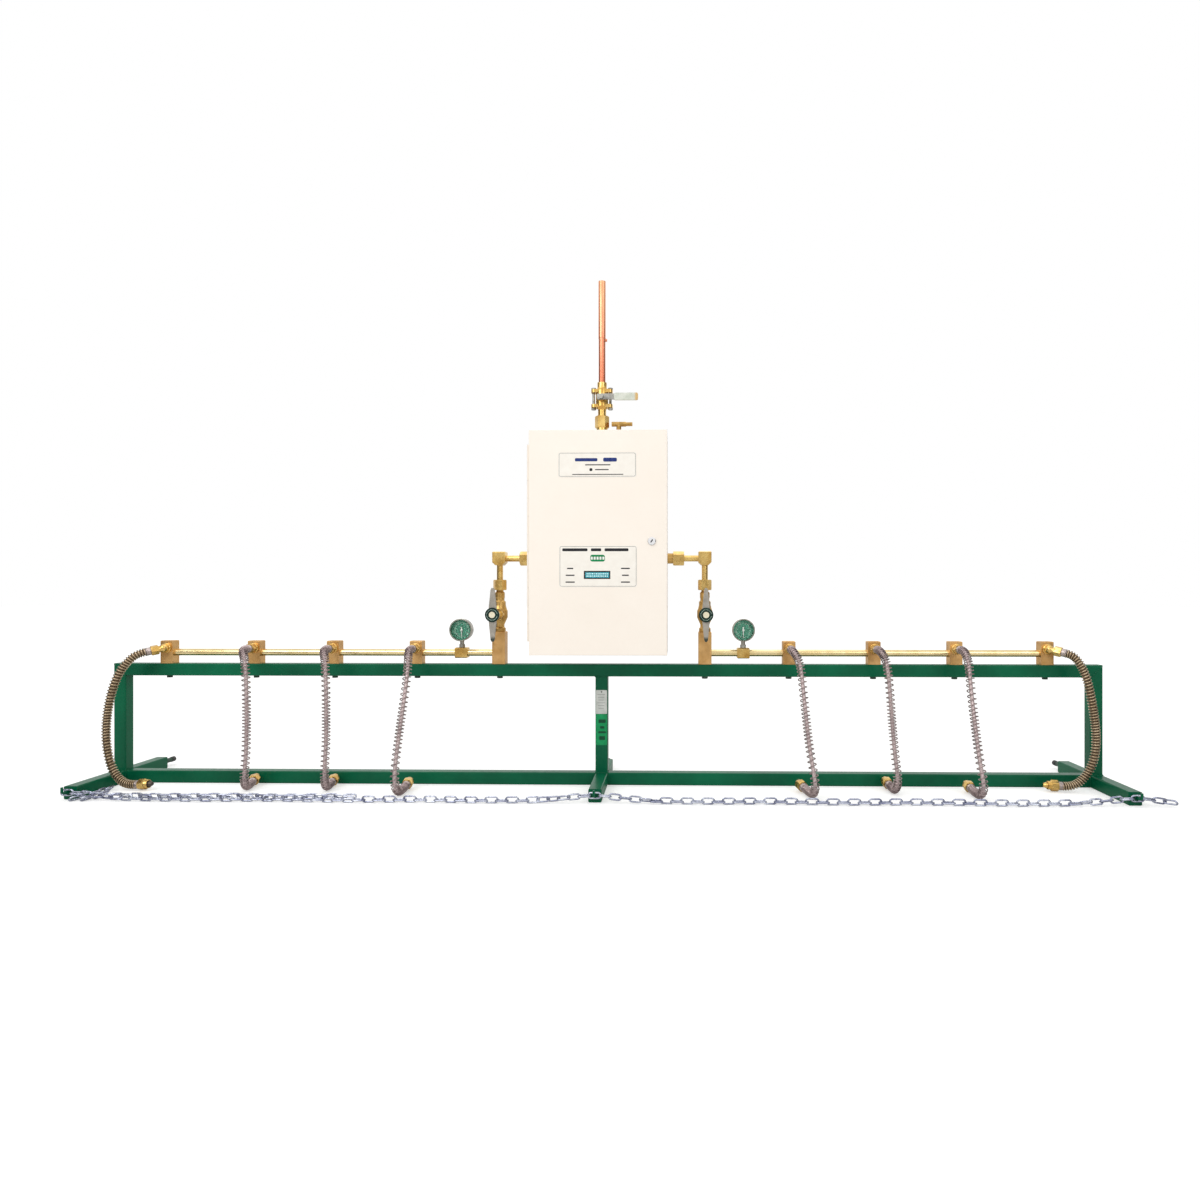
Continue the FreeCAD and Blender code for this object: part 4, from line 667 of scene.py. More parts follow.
def chain_recipe() -> Recipe:
    """Round-bar links, one at each point of the host, turned by its turn attribute."""
    recipe = Recipe("chain_links", ("Length", "Width", "Bar Radius"))
    sizes, times = recipe.sizes, recipe.times
    oblong = recipe.out("CurvePrimitiveQuadrilateral", {"Width": sizes["Length"],
                                                        "Height": sizes["Width"]})
    rounded = recipe.out("FilletCurve", {"Curve": oblong, "Count": 5,
                                         "Radius": times(sizes["Width"], 0.499)}, mode="POLY")
    bar = recipe.pipe(rounded, sizes["Bar Radius"], 8)
    ball = recipe.out("MeshUVSphere", {"Segments": 8, "Rings": 6,
                                       "Radius": times(sizes["Bar Radius"], 1.2)}, "Mesh")
    beside = recipe.spot(Y=times(sizes["Width"], 0.5))
    weld = recipe.out("Transform", {"Geometry": ball, "Translation": beside})
    join = recipe.add("JoinGeometry")
    for shape in (bar, weld):
        recipe.tree.links.new(shape, join.inputs[0])
    turn = recipe.out("InputNamedAttribute", {"Name": "turn"}, data_type="QUATERNION")
    return recipe.end(recipe.out("InstanceOnPoints", {
        "Points": sizes["Geometry"], "Instance": join.outputs[0], "Rotation": turn}))


def marks_recipe() -> Recipe:
    """Bars set round part of a circle in the XY plane, each pointing outwards."""
    recipe = Recipe("dial_marks", ("Radius", "Mark Length", "Mark Width", "Mark Height", "Start",
                                   "Sweep"), ("Count",))
    sizes, maths, times = recipe.sizes, recipe.maths, recipe.times
    points = recipe.out("MeshLine", {"Count": sizes["Count"]})
    share = maths("DIVIDE", recipe.out("InputIndex"), maths("SUBTRACT", sizes["Count"], 1))
    angle = maths("ADD", sizes["Start"], times(share, sizes["Sweep"]))
    spot = recipe.spot(X=times(maths("COSINE", angle), sizes["Radius"]),
                       Y=times(maths("SINE", angle), sizes["Radius"]))
    placed = recipe.out("SetPosition", {"Geometry": points, "Position": spot})
    bar = recipe.out("MeshCube", {"Size": recipe.spot(
        X=sizes["Mark Length"], Y=sizes["Mark Width"], Z=sizes["Mark Height"])})
    turn = recipe.out("FunctionNodeEulerToRotation", {0: recipe.spot(Z=angle)})
    return recipe.end(recipe.out("InstanceOnPoints", {
        "Points": placed, "Instance": bar, "Rotation": turn}))


def weld_recipe() -> Recipe:
    """Overlapping ripples of weld metal along a path, with a fixed seed for their sizes."""
    recipe = Recipe("weld_bead", ("Bead Radius", "Step"), ("Seed",))
    sizes = recipe.sizes
    curve = recipe.out("MeshToCurve", {0: sizes["Geometry"]})
    points = recipe.add("CurveToPoints", {"Curve": curve, "Length": sizes["Step"]},
                        mode="LENGTH").outputs
    ripple = recipe.out("MeshUVSphere", {"Segments": 8, "Rings": 6,
                                         "Radius": sizes["Bead Radius"]}, "Mesh")
    scale = recipe.out("FunctionNodeRandomValue", {2: 0.8, 3: 1.15, "Seed": sizes["Seed"]}, 1,
                       data_type="FLOAT")
    return recipe.end(recipe.out("InstanceOnPoints", {
        "Points": points["Points"], "Instance": ripple, "Rotation": points["Rotation"],
        "Scale": scale}))


def ribs_recipe() -> Recipe:
    """Rings set one after another along Z, as the crimps of a sleeve."""
    recipe = Recipe("crimp_ribs", ("Spacing", "Radius", "Bar Radius"), ("Count",))
    sizes = recipe.sizes
    points = recipe.out("MeshLine", {"Count": sizes["Count"],
                                     "Offset": recipe.spot(Z=sizes["Spacing"])})
    ring = recipe.out("CurvePrimitiveCircle", {"Resolution": 32, "Radius": sizes["Radius"]},
                      "Curve")
    rib = recipe.pipe(ring, sizes["Bar Radius"], 8)
    return recipe.end(recipe.out("InstanceOnPoints", {"Points": points, "Instance": rib}))


def polyline(points: Iterable[Sequence[float]] = ((0, 0, 0), (0, 0, 0.001)),
             closed: bool = False) -> bpy.types.Mesh:
    """A mesh of edges through the given points."""
    spots = [tuple(point) for point in points]
    edges = [(i, i + 1) for i in range(len(spots) - 1)]
    if closed:
        edges.append((len(spots) - 1, 0))
    mesh = bpy.data.meshes.new("path")
    mesh.from_pydata(spots, edges, [])
    return mesh


def circle(radius: float, steps: int) -> list[tuple[float, float]]:
    """Points round the origin."""
    return [(radius * math.cos(TURN * i / steps), radius * math.sin(TURN * i / steps))
            for i in range(steps)]


def rounded_outline(width: float, height: float, radius: float,
                    steps: int = 5) -> list[tuple[float, float]]:
    """The outline of a rectangle with round corners, round the origin."""
    outline = []
    for corner in range(4):
        across = (width / 2 - radius) * (1 if corner in (0, 3) else -1)
        up = (height / 2 - radius) * (1 if corner < 2 else -1)
        for step in range(steps + 1):
            angle = math.pi / 2 * (corner + step / steps)
            outline.append((across + radius * math.cos(angle), up + radius * math.sin(angle)))
    return outline


def shift(x: float, y: float, z: float) -> Matrix:
    """A move by the given steps."""
    return Matrix.Translation((x, y, z))


def on_wall(x: float, y: float, z: float) -> Matrix:
    """A place on an upright face: X goes across it, Y up it and Z out of it."""
    return shift(x, y, z) @ WALL_FACING


class Piece:
    """A piece in the making: one mesh whose faces each have a finish."""

    def __init__(self, name: str) -> None:
        """Starts an empty piece."""
        self.name = name
        self.mesh = bmesh.new()
        self.finishes: list[Finish] = []

    def take(self, part: bmesh.types.BMesh | bpy.types.Mesh, finish: Finish,
             place: Matrix | None = None, crease: float = CREASE) -> None:
        """Adds a mesh to the piece.

        Args:
            part: The mesh, which is used up.
            finish: The finish of its faces.
            place: Where it goes.
            crease: The angle past which an edge is sharp.
        """
        source = part
        if isinstance(part, bpy.types.Mesh):
            source = bmesh.new()
            source.from_mesh(part)
            bpy.data.meshes.remove(part)
        if place is not None:
            source.transform(place)
        if finish not in self.finishes:
            self.finishes.append(finish)
        for face in source.faces:
            face.smooth = True
            face.material_index = self.finishes.index(finish)
        for edge in source.edges:
            edge.smooth = not (len(edge.link_faces) == 2
                               and edge.calc_face_angle(0.0) > crease)
        passing = bpy.data.meshes.new("passing")
        source.to_mesh(passing)
        source.free()
        self.mesh.from_mesh(passing)
        bpy.data.meshes.remove(passing)

    def loft(self, rings: Sequence[Sequence[Sequence[float]]], finish: Finish,
             place: Matrix | None = None, capped: bool = False, cyclic: bool = False,
             reach: Sequence[float] = ()) -> None:
        """Adds the skin between rings of points.

        Args:
            rings: The rings, each of as many points, or of one where the body has a tip.
            finish: The finish of its faces.
            place: Where it goes.
            capped: Whether both ends are filled; such a body keeps soft edges.
            cyclic: Whether the last ring is joined to the first.
            reach: How far along the body each ring lies, where it has a UV map.
        """
        part = bmesh.new()
        uv = part.loops.layers.uv.new("UVMap") if reach else None
        loops = [[part.verts.new(spot) for spot in ring] for ring in rings]
        steps = max(map(len, loops))
        for row, (low, high) in enumerate(zip(loops, loops[1:] + loops[:1] * cyclic)):
            for i in range(steps):
                j = (i + 1) % steps
                corners = dict.fromkeys((low[i % len(low)], low[j % len(low)],
                                         high[j % len(high)], high[i % len(high)]))
                if len(corners) < 3:
                    continue
                face = part.faces.new(tuple(corners))
                if uv is not None:
                    spots = ((i, row), (i + 1, row), (i + 1, row + 1), (i, row + 1))
                    for loop, (across, along) in zip(face.loops, spots):
                        loop[uv].uv = (across / steps, reach[along])
        if capped:
            part.faces.new(loops[0][::-1])
            part.faces.new(loops[-1])
        else:
            bmesh.ops.recalc_face_normals(part, faces=part.faces)
        self.take(part, finish, place)

    def lathe(self, profile: Sequence[tuple[float, float]], finish: Finish, place: Matrix,
              steps: int = 32) -> None:
        """Adds a turned body, from its profile of radius and height."""
        self.loft([[(x, y, height) for x, y in circle(radius, steps if radius else 1)]
                   for radius, height in profile], finish, place)

    def slab(self, outline: Sequence[tuple[float, float]], depth: float, finish: Finish,
             place: Matrix) -> None:
        """Adds a flat plate: an outline in the XY plane, raised along Z."""
        self.loft([[(x, y, z) for x, y in outline] for z in (0, depth)], finish, place,
                  capped=True)

    def open_plate(self, outer: Sequence[tuple[float, float]],
                   inner: Sequence[tuple[float, float]], depth: float, finish: Finish,
                   place: Matrix) -> None:
        """Adds a flat plate with an opening, from two outlines with as many points."""
        self.loft([[(x, y, z) for x, y in outline] for outline, z in (
            (outer, 0), (outer, depth), (inner, depth), (inner, 0))], finish, place,
            cyclic=True)

    def done(self, body: str, slot: str | None = None, nodes: Sequence[str] = ()
             ) -> bpy.types.Object:
        """Makes the piece's object, which rides on a body and stands for some CAD nodes.

        Args:
            body: The CAD body that it moves with.
            slot: The record's material slot; the first finish's slot where it is left out. Not
                used.
            nodes: The CAD nodes that it stands for.

        Returns:
            The finished object.
        """
        data = bpy.data.meshes.new(self.name)
        self.mesh.to_mesh(data)
        self.mesh.free()
        for finish in self.finishes:
            data.materials.append(finish.material())
        thing = linked(self.name, data)
        thing.modifiers.new("even_shading", "WEIGHTED_NORMAL").keep_sharp = True
        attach(thing, body)
        slot or self.finishes[0].slot
        if nodes:
            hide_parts(*nodes)
        LOG.info("%s: %d faces, rides on %s", self.name, len(data.polygons), body)
        return thing


class PackedPart:
    """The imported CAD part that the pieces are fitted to."""

    def __init__(self) -> None:
        """Loads the frame and keeps its box."""
        self.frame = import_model()
        self.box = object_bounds()
        self.split: dict[str, list[tuple[Vector, bmesh.types.BMesh]]] = {}

    def copy(self, node: str) -> bmesh.types.BMesh:
        """A node's mesh with its loose triangles merged."""
        mesh = bmesh.new()
        mesh.from_mesh(self.frame["nodes"][node].data)
        bmesh.ops.remove_doubles(mesh, verts=mesh.verts, dist=MERGE_DISTANCE)
        return mesh

    def solids(self, node: str) -> list[tuple[Vector, bmesh.types.BMesh]]:
        """A node's separate solids, each with its middle."""
        if node in self.split:
            return self.split[node]
        whole = self.copy(node)
        found, seen = [], set()
        for start in whole.verts:
            if start in seen:
                continue
            group, stack = {start}, [start]
            while stack:
                near = {vert for edge in stack.pop().link_edges for vert in edge.verts} - group
                group |= near
                stack.extend(near)
            seen |= group
            part = bmesh.new()
            fresh = {vert: part.verts.new(vert.co) for vert in whole.verts if vert in group}
            for face in whole.faces:
                if face.verts[0] in group:
                    part.faces.new([fresh[vert] for vert in face.verts])
            corners = [vert.co for vert in part.verts]
            middle = sum((Vector(map(pick, zip(*corners))) for pick in (min, max)),
                         Vector()) / 2
            found.append((middle, part))
        whole.free()
        self.split[node] = found
        return found

    def nearest(self, node: str, spot: Sequence[float]) -> bmesh.types.BMesh:
        """A copy of the node's solid whose middle is nearest to a place."""
        _, part = min(self.solids(node), key=lambda pair: (pair[0] - Vector(spot)).length)
        return part.copy()

    def dress(self, finishes: dict[str, Finish],
              extras: Callable[[Piece], None] | None = None) -> None:
        """Stands a smoothly shaded copy of each node in its place.

        Args:
            finishes: The copies' finishes, by the names of the CAD nodes.
            extras: What adds details to a piece before it is done.
        """
        for node, finish in finishes.items():
            piece = Piece(f"{node}_finished")
            piece.take(self.copy(node), finish)
            if extras is not None:
                extras(piece)
            piece.done(self.frame["nodes"][node]["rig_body"], finish.slot, (node,))


@dataclass
class Rack:
    """The welded rack: rails, posts, feet, wall studs, labels and weld beads."""

    part: PackedPart
    weld: Recipe
    helix: Recipe
    tube: float = 0.0381
    rail_top: float = 0.372
    length: float = 3.048
    bead: float = 0.0019
    inset: float = 0.003
    label_width: float = 0.034
    label_thickness: float = 0.0004
    label_edges: Point = (0.293, 0.219, 0.123)
    print_thickness: float = 0.0001
    thread_pitch: float = 0.002
    thread_radius: float = 0.0074
    thread_wire: float = 0.00055
    thread_steps: int = 14
    seed: int = 4

    def build(self) -> None:
        """Builds every piece of the rack."""
        self.part.dress({"top_rail": GREEN, "end_posts": GREEN})
        self.part.dress({"center_post": GREEN}, self.labels)
        self.part.dress({"feet": GREEN, "foot_end_plates": GREEN, "bottom_rails": GREEN})
        self.part.dress({"anchor_studs": BOLT_STEEL}, self.threads)
        self.part.dress({"stud_tips": RUBBER})
        self.welds()

    def seam(self, piece: Piece, points: Sequence[Point], closed: bool = False) -> None:
        """Adds a weld bead along a path."""
        self.seed += 1
        piece.take(self.weld.grow(polyline(points, closed), GREEN, Bead_Radius=self.bead,
                                  Step=self.bead, Seed=self.seed), GREEN)

    def welds(self) -> None:
        """The beads where the tubes meet."""
        piece = Piece("weld_beads")
        half, end = self.tube / 2, self.length / 2
        under, inner = self.rail_top - self.tube, end - self.tube
        for x, z in ((half - end, self.tube), (0.0, self.tube), (end - half, self.tube),
                     (0.0, under)):
            self.seam(piece, [(x + i * half, j * half, z)
                              for i, j in ((-1, -1), (1, -1), (1, 1), (-1, 1))], closed=True)
        low, high = self.inset, self.tube - 0.002
        for side in (-1, 1):
            for y in (-half, half):
                self.seam(piece, [(side * (end - self.inset), y, self.rail_top - self.inset),
                                  (side * (inner + 0.001), y, under + 0.001)])
            for x in (side * half, side * inner):
                self.seam(piece, [(x, -half, low), (x, -half, high), (x, half, high),
                                  (x, half, low)])
        piece.done("frame")

    def labels(self, piece: Piece) -> None:
        """Two bare labels on the front of the centre post: one silver, one green."""
        post = on_wall(0, -self.tube / 2, 0)
        top, middle, low = self.label_edges
        for upper, lower, finish in ((top, middle, LABEL_SILVER), (middle, low, LABEL_GREEN)):
            outline = rounded_outline(self.label_width, upper - lower - 0.001, 0.0015)
            piece.slab(outline, self.label_thickness, finish,
                       post @ shift(0, (upper + lower) / 2, 0))
        for i in range(6):
            spot = post @ shift(-0.001, top - 0.014 - i * 0.0085, self.label_thickness)
            piece.slab(rounded_outline(0.024 - 0.004 * (i % 3), 0.0014, 0.0006),
                       self.print_thickness, GREY_LINE, spot)
        disc = post @ shift(0, top - 0.006, self.label_thickness)
        piece.lathe([(0, 0), (0.0022, 0), (0.0022, self.print_thickness),
                     (0, self.print_thickness)], INK, disc, 20)
        for width, height, up in ((0.022, 0.011, 0.197), (0.014, 0.008, 0.178),
                                  (0.024, 0.006, 0.163), (0.018, 0.012, 0.145)):
            piece.slab(rounded_outline(width, height, 0.002), self.print_thickness, LABEL_MARK,
                       post @ shift(0.002, up, self.label_thickness))

    def threads(self, piece: Piece) -> None:
        """The thread on each wall stud."""
        start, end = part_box("anchor_studs")[1].y - 0.001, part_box("stud_tips")[1].y + 0.001
        turns = (start - end) / self.thread_pitch
        for middle, _ in self.part.solids("anchor_studs"):
            path = [(middle.x, start, middle.z), (middle.x, end, middle.z)]
            piece.take(self.helix.grow(
                polyline(path), BOLT_STEEL, Coil_Radius=self.thread_radius,
                Wire_Radius=self.thread_wire, Turns=turns, Close=0.0,
                Steps=int(turns * self.thread_steps)), BOLT_STEEL)


@dataclass
class Header:
    """The brass header: blocks, pipes, bolts and outlet adapters."""

    part: PackedPart

    def build(self) -> None:
        """Builds every piece of the header."""
        self.part.dress({"station_blocks": BLOCK_BRASS, "header_pipes": PIPE_BRASS,
                         "outlet_adapters": BRASS, "station_bolts": BOLT_STEEL,
                         "gauge_tees": BRASS})


@dataclass
class Pigtail:
    """One flexible hose: a braided core in a spring guard, with a fitting at each end."""

    name: str
    part: PackedPart
    helix: Recipe
    ribs: Recipe
    route: Sequence[Point]
    end_metal: Metal
    wire: Metal = STEEL_WIRE
    braid: Braid = STEEL_BRAID
    turns: float = 52.0
    close: float = 0.34
    core_radius: float = 0.0056
    guard_radius: float = 0.0130
    wire_radius: float = 0.0017
    steps_per_turn: int = 16
    core_sides: int = 12
    rib_radius: float = 0.0118
    rib_spacing: float = 0.003
    rib_bar: float = 0.0007

    def build(self) -> None:
        line = self.centreline()
        piece = Piece(f"{self.name}_hose")
        self.core(piece, line)
        wound = self.helix.grow(
            polyline(line), self.wire, Coil_Radius=self.guard_radius - self.wire_radius,
            Wire_Radius=self.wire_radius, Turns=self.turns, Close=self.close,
            Steps=int(self.turns * self.steps_per_turn))
        piece.take(wound, self.wire, crease=math.pi)
        hose = piece.done("frame", self.wire.slot, (self.name,))
        top = self.fitting("top", *self.route[:2], -0.002, (
            ("pigtail_top_nuts", 0.02, BRASS), ("pigtail_sleeves", 0.0, SLEEVE_STEEL)))
        end = self.fitting("end", *self.route[:-3:-1], 0.003, (
            ("pigtail_sleeves", 0.01, SLEEVE_STEEL), ("cylinder_nuts", 0.03, BRASS),
            ("cylinder_nipples", 0.045, self.end_metal)))
        length = sum((b - a).length for a, b in zip(line, line[1:]))
        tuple(self.route[0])
        LOG.info("%s: %.3f m along its middle", self.name, length)

    def centreline(self) -> list[Vector]:
        """The points of the route's smooth line."""
        data = bpy.data.curves.new(f"{self.name}_line", "CURVE")
        data.dimensions = "3D"
        data.resolution_u = 10
        spline = data.splines.new("NURBS")
        spline.points.add(len(self.route) - 1)
        for point, spot in zip(spline.points, self.route):
            point.co = (*spot, 1.0)
        spline.order_u = 3
        spline.use_endpoint_u = True
        mesh = settled(linked(data.name, data))
        line = [vert.co.copy() for vert in mesh.vertices]
        bpy.data.meshes.remove(mesh)
        return line

    def core(self, piece: Piece, line: Sequence[Vector]) -> None:
        """Adds the braided core as a tube with its own UV map, closed at both ends."""
        side = (line[1] - line[0]).orthogonal().normalized()
        rings, reach = [], []
        for i, spot in enumerate(line):
            ahead = (line[min(i + 1, len(line) - 1)] - line[max(i - 1, 0)]).normalized()
            side = (side - ahead * side.dot(ahead)).normalized()
            up = ahead.cross(side)
            rings.append([spot + side * x + up * y
                          for x, y in circle(self.core_radius, self.core_sides)])
            reach.append(reach[-1] + (spot - line[i - 1]).length if i else 0.0)
        piece.loft(rings, self.braid, capped=True, reach=reach)

    def fitting(self, end: str, last: Point, before: Point, crimp: float,
                solids: Sequence[tuple[str, float, Finish]]) -> bpy.types.Object:
        """The fitting at one end of the hose, with the ribs that the crimping tool leaves.

        Args:
            end: The end's name.
            last: The route's last point at this end.
            before: The point before it.
            crimp: How far past the last point the ribs start.
            solids: The node, the reach past the last point and the finish of each solid.

        Returns:
            The finished object.
        """
        tip = Vector(last)
        outwards = (tip - Vector(before)).normalized()
        piece = Piece(f"{self.name}_{end}_fitting")
        for node, reach, finish in solids:
            piece.take(self.part.nearest(node, tip + outwards * reach), finish)
        turn = outwards.to_track_quat("Z", "Y").to_matrix().to_4x4()
        piece.take(self.ribs.grow(polyline(), SLEEVE_STEEL, Count=3, Spacing=self.rib_spacing,
                                  Radius=self.rib_radius, Bar_Radius=self.rib_bar),
                   SLEEVE_STEEL, shift(*(tip + outwards * crimp)) @ turn)
        return piece.done("frame", "brass", [node for node, _, _ in solids])


@dataclass
class Gauge:
    """The two pressure gauges and the print on their dials."""

    part: PackedPart
    marks: Recipe
    scale_radius: float = 0.0222
    number_radius: float = 0.0263
    number_size: float = 0.0046
    ring_width: float = 0.0006
    print_height: float = 0.0002
    sweep: float = math.radians(300)
    numbers: int = 5

    def build(self) -> None:
        """Builds the cases, dials, lenses and pointers of both gauges."""
        self.part.dress({"gauge_cases": GAUGE_STEEL})
        self.part.dress({"gauge_dials": DIAL_GREEN}, self.scales)
        self.part.dress({"gauge_lenses": GLASS, "left_gauge_pointer": WHITE,
                         "right_gauge_pointer": WHITE})

    def scales(self, piece: Piece) -> None:
        """The ring, marks and numbers on both dials."""
        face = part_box("gauge_dials")[0].y
        inner, outer, raised = (self.scale_radius, self.scale_radius + self.ring_width,
                                self.print_height)
        for middle, _ in self.part.solids("gauge_dials"):
            place = on_wall(middle.x, face, middle.z)
            piece.lathe([(outer, 0), (outer, raised), (inner, raised), (inner, 0), (outer, 0)],
                        PALE_GREEN, place, 64)
            for count, length, width in ((31, 0.0028, 0.0005), (7, 0.0052, 0.0011)):
                piece.take(self.marks.grow(
                    polyline(), PALE_GREEN, Count=count, Radius=self.scale_radius - length / 2,
                    Mark_Length=length, Mark_Width=width, Mark_Height=2 * raised,
                    Start=-math.pi / 2, Sweep=-self.sweep), PALE_GREEN, place)
            for i in range(self.numbers):
                angle = -math.pi / 2 - self.sweep * i / (self.numbers - 1)
                spot = Vector((math.cos(angle), math.sin(angle), 0)) * self.number_radius
                piece.take(self.number(str(i * 1000)), PALE_GREEN, place @ shift(*spot))

    def number(self, text: str) -> bpy.types.Mesh:
        """A plain number as a mesh, centred on the origin in the XY plane."""
        data = bpy.data.curves.new("word", "FONT")
        data.body = text
        data.size = self.number_size
        data.extrude = self.print_height / 2
        data.align_x = data.align_y = "CENTER"
        return settled(linked("word", data))


@dataclass
class MasterValves:
    """The two shut-off valves with their levers and hub caps, and the risers above them."""

    part: PackedPart
    marks: Recipe
    mark_radius: float = 0.0158
    mark_size: Point = (0.0026, 0.0009, 0.0003)
    mark_count: int = 25
    disc_radius: float = 0.0095
    disc_sunk: float = 0.0015

    def build(self) -> None:
        """Builds every piece of both valves."""
        self.part.dress({"valve_blocks": BLOCK_BRASS, "valve_bodies": VALVE_BRASS,
                         "valve_bonnets": BRASS, "riser_pipes": BRASS, "riser_elbows": BRASS,
                         "union_nuts": BRASS})
        for side in ("left", "right"):
            self.part.dress({f"{side}_valve_handle": HANDLE_GREY})
            self.part.dress({f"{side}_hub_cap": CAP_GREEN}, self.cap_print(side))

    def cap_print(self, side: str) -> Callable[[Piece], None]:
        """What adds the ring of marks and the cream disc to one side's hub cap."""
        def add(piece: Piece) -> None:
            """Adds the marks and the disc."""
            low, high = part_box(f"{side}_hub_cap")
            place = on_wall((low.x + high.x) / 2, low.y, (low.z + high.z) / 2)
            length, width, height = self.mark_size
            piece.take(self.marks.grow(
                polyline(), PALE_GREEN, Count=self.mark_count, Radius=self.mark_radius,
                Mark_Length=length, Mark_Width=width, Mark_Height=height, Start=0.0,
                Sweep=TURN), PALE_GREEN, place)
            piece.lathe([(0, 0), (self.disc_radius, 0), (self.disc_radius, 0.0007),
                         (self.disc_radius - 0.0006, 0.0011), (0, 0.0012)], CAP_CREAM,
                        place @ shift(0, 0, -self.disc_sunk))
        return add


@dataclass(frozen=True)
class Mark:
    """A flat printed bar on a plate: its middle, size and finish."""

    x: float
    z: float
    width: float
    height: float
    finish: Finish


@dataclass
class Cabinet:
    """The control cabinet: box, door, plates, display, lock and what is inside."""

    part: PackedPart
    plate_thickness: float = 0.0005
    ink_thickness: float = 0.00012
    line: float = 0.0011
    lock_height: float = 0.743
    slot_turn: float = math.radians(55)
    pane: float = 0.0010
    panel: float = 0.0004
    lit: float = 0.0002
    lit_size: tuple[float, float] = (0.070, 0.0165)
    letters: int = 12
    letter_height: float = 0.0042
    first_letter: tuple[float, float] = (-0.0295, 0.0034)
    letter_step: tuple[float, float] = (0.0054, 0.0068)

    def build(self) -> None:
        """Builds every piece of the cabinet."""
        self.part.dress({"cabinet_body": CREAM, "cabinet_door": CREAM, "hinge_pin": ZINC})
        self.part.dress({"door_lock": CHROME}, self.key_slot)
        self.part.dress({"control_board": BOARD, "primary_regulators": VALVE_BRASS,
                         "line_regulator": VALVE_BRASS, "cabinet_piping": COPPER})
        self.window()
        self.plates()

    def key_slot(self, piece: Piece) -> None:
        """The dark slot in the face of the lock."""
        low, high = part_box("door_lock")
        face = on_wall((low.x + high.x) / 2, low.y, self.lock_height)
        face @= Matrix.Rotation(self.slot_turn, 4, "Z")
        piece.slab(rounded_outline(0.011, 0.0032, 0.0014), self.ink_thickness, INK, face)

    def window(self) -> None:
        """The clear window, and the display panel that sits behind it."""
        low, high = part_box("display_window")
        centre = (low + high) / 2
        outline = rounded_outline(high.x - low.x, high.z - low.z, 0.001, 2)
        piece = Piece("display_window_finished")
        piece.slab(outline, self.pane, GLASS, on_wall(centre.x, low.y + self.pane, centre.z))
        piece.done("door", None, ("display_window",))
        piece = Piece("display_panel")
        place = on_wall(centre.x, high.y, centre.z)
        piece.slab(outline, self.panel, BLACK, place)
        place = place @ shift(0, 0, self.panel)
        piece.slab(rounded_outline(*self.lit_size, 0.001, 2), self.lit, LCD, place)
        (left, top), (across, down) = self.first_letter, self.letter_step
        for row in range(2):
            for column in range(self.letters):
                wide = 0.0032 + 0.0012 * ((column * 5 + row * 3) % 2)
                outline = rounded_outline(wide, self.letter_height, 0.0004, 1)
                piece.slab(outline, self.lit / 2, LCD_TEXT,
                           place @ shift(left + column * across, top - row * down, self.lit))
        piece.done("door", "dark_plastic")

    def print_plate(self, name: str, centre: tuple[float, float], size: tuple[float, float],
                    marks: Sequence[Mark],
                    window: tuple[float, float, float, float] | None = None) -> None:
        """Builds a plate with a thin round-cornered border and printed bars.

        Args:
            name: The piece's name.
            centre: The plate's middle, across and up.
            size: Its width and its height.
            marks: Its printed bars; the white ones lie on a field of ink.
            window: The middle, width and height of its opening, where it has one.
        """
        piece = Piece(name)
        width, height = size
        wall = on_wall(0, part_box("cabinet_door")[0].y, 0)
        place = wall @ shift(*centre, 0)
        outline = rounded_outline(width, height, 0.006)
        if window is None:
            piece.slab(outline, self.plate_thickness, PLATE, place)
        else:
            across, up = window[0] - centre[0], window[1] - centre[1]
            inner = [(x + across, z + up) for x, z in rounded_outline(*window[2:], 0.0012)]
            piece.open_plate(outline, inner, self.plate_thickness, PLATE, place)
        border = [rounded_outline(width - edge, height - edge, radius) for edge, radius in (
            (0.004, 0.0055), (0.004 + 2 * self.line, 0.0055 - self.line))]
        piece.open_plate(*border, self.ink_thickness, GREY_LINE,
                         place @ shift(0, 0, self.plate_thickness))
        for mark in marks:
            radius, steps, lift = min(mark.width, mark.height) * 0.3, 3, self.plate_thickness
            if mark.finish is WHITE:
                radius, steps, lift = 0.001, 2, lift + self.ink_thickness
            piece.slab(rounded_outline(mark.width, mark.height, radius, steps),
                       self.ink_thickness, mark.finish, wall @ shift(mark.x, mark.z, lift))
        piece.done("door", "white_paint")

    def plates(self) -> None:
        """The upper and lower plates on the door, with plain bars where words were."""
        self.print_plate("upper_plate", (-0.0015, 0.9665), (0.229, 0.073), [
            Mark(-0.034, 0.981, 0.066, 0.0095, NAVY), Mark(0.036, 0.981, 0.040, 0.0115, NAVY),
            Mark(0.0, 0.966, 0.074, 0.0030, INK), Mark(-0.020, 0.952, 0.0085, 0.0085, INK),
            Mark(0.012, 0.952, 0.040, 0.0030, INK), Mark(0.0, 0.938, 0.150, 0.0024, INK)])
        lower = [Mark(x, 0.7175, width, 0.0085, INK)
                 for x, width in ((-0.067, 0.074), (-0.005, 0.030), (0.055, 0.070))]
        lower.append(Mark(-0.0005, 0.693, 0.043, 0.020, FIELD_GREEN))
        lower += [Mark(-0.0005 + 0.0085 * i, 0.693, 0.0058, 0.0085, WHITE)
                  for i in range(-2, 3)]
        for z, left, right in ((0.663, 0.018, 0.026), (0.643, 0.026, 0.020),
                               (0.623, 0.027, 0.026)):
            lower += [Mark(-0.081, z, left, 0.0036, INK), Mark(0.081, z, right, 0.0036, INK)]
        self.print_plate("lower_plate", (0.0008, 0.669), (0.2285, 0.1215), lower,
                         window=(-0.002, 0.644, 0.0778, 0.0238))


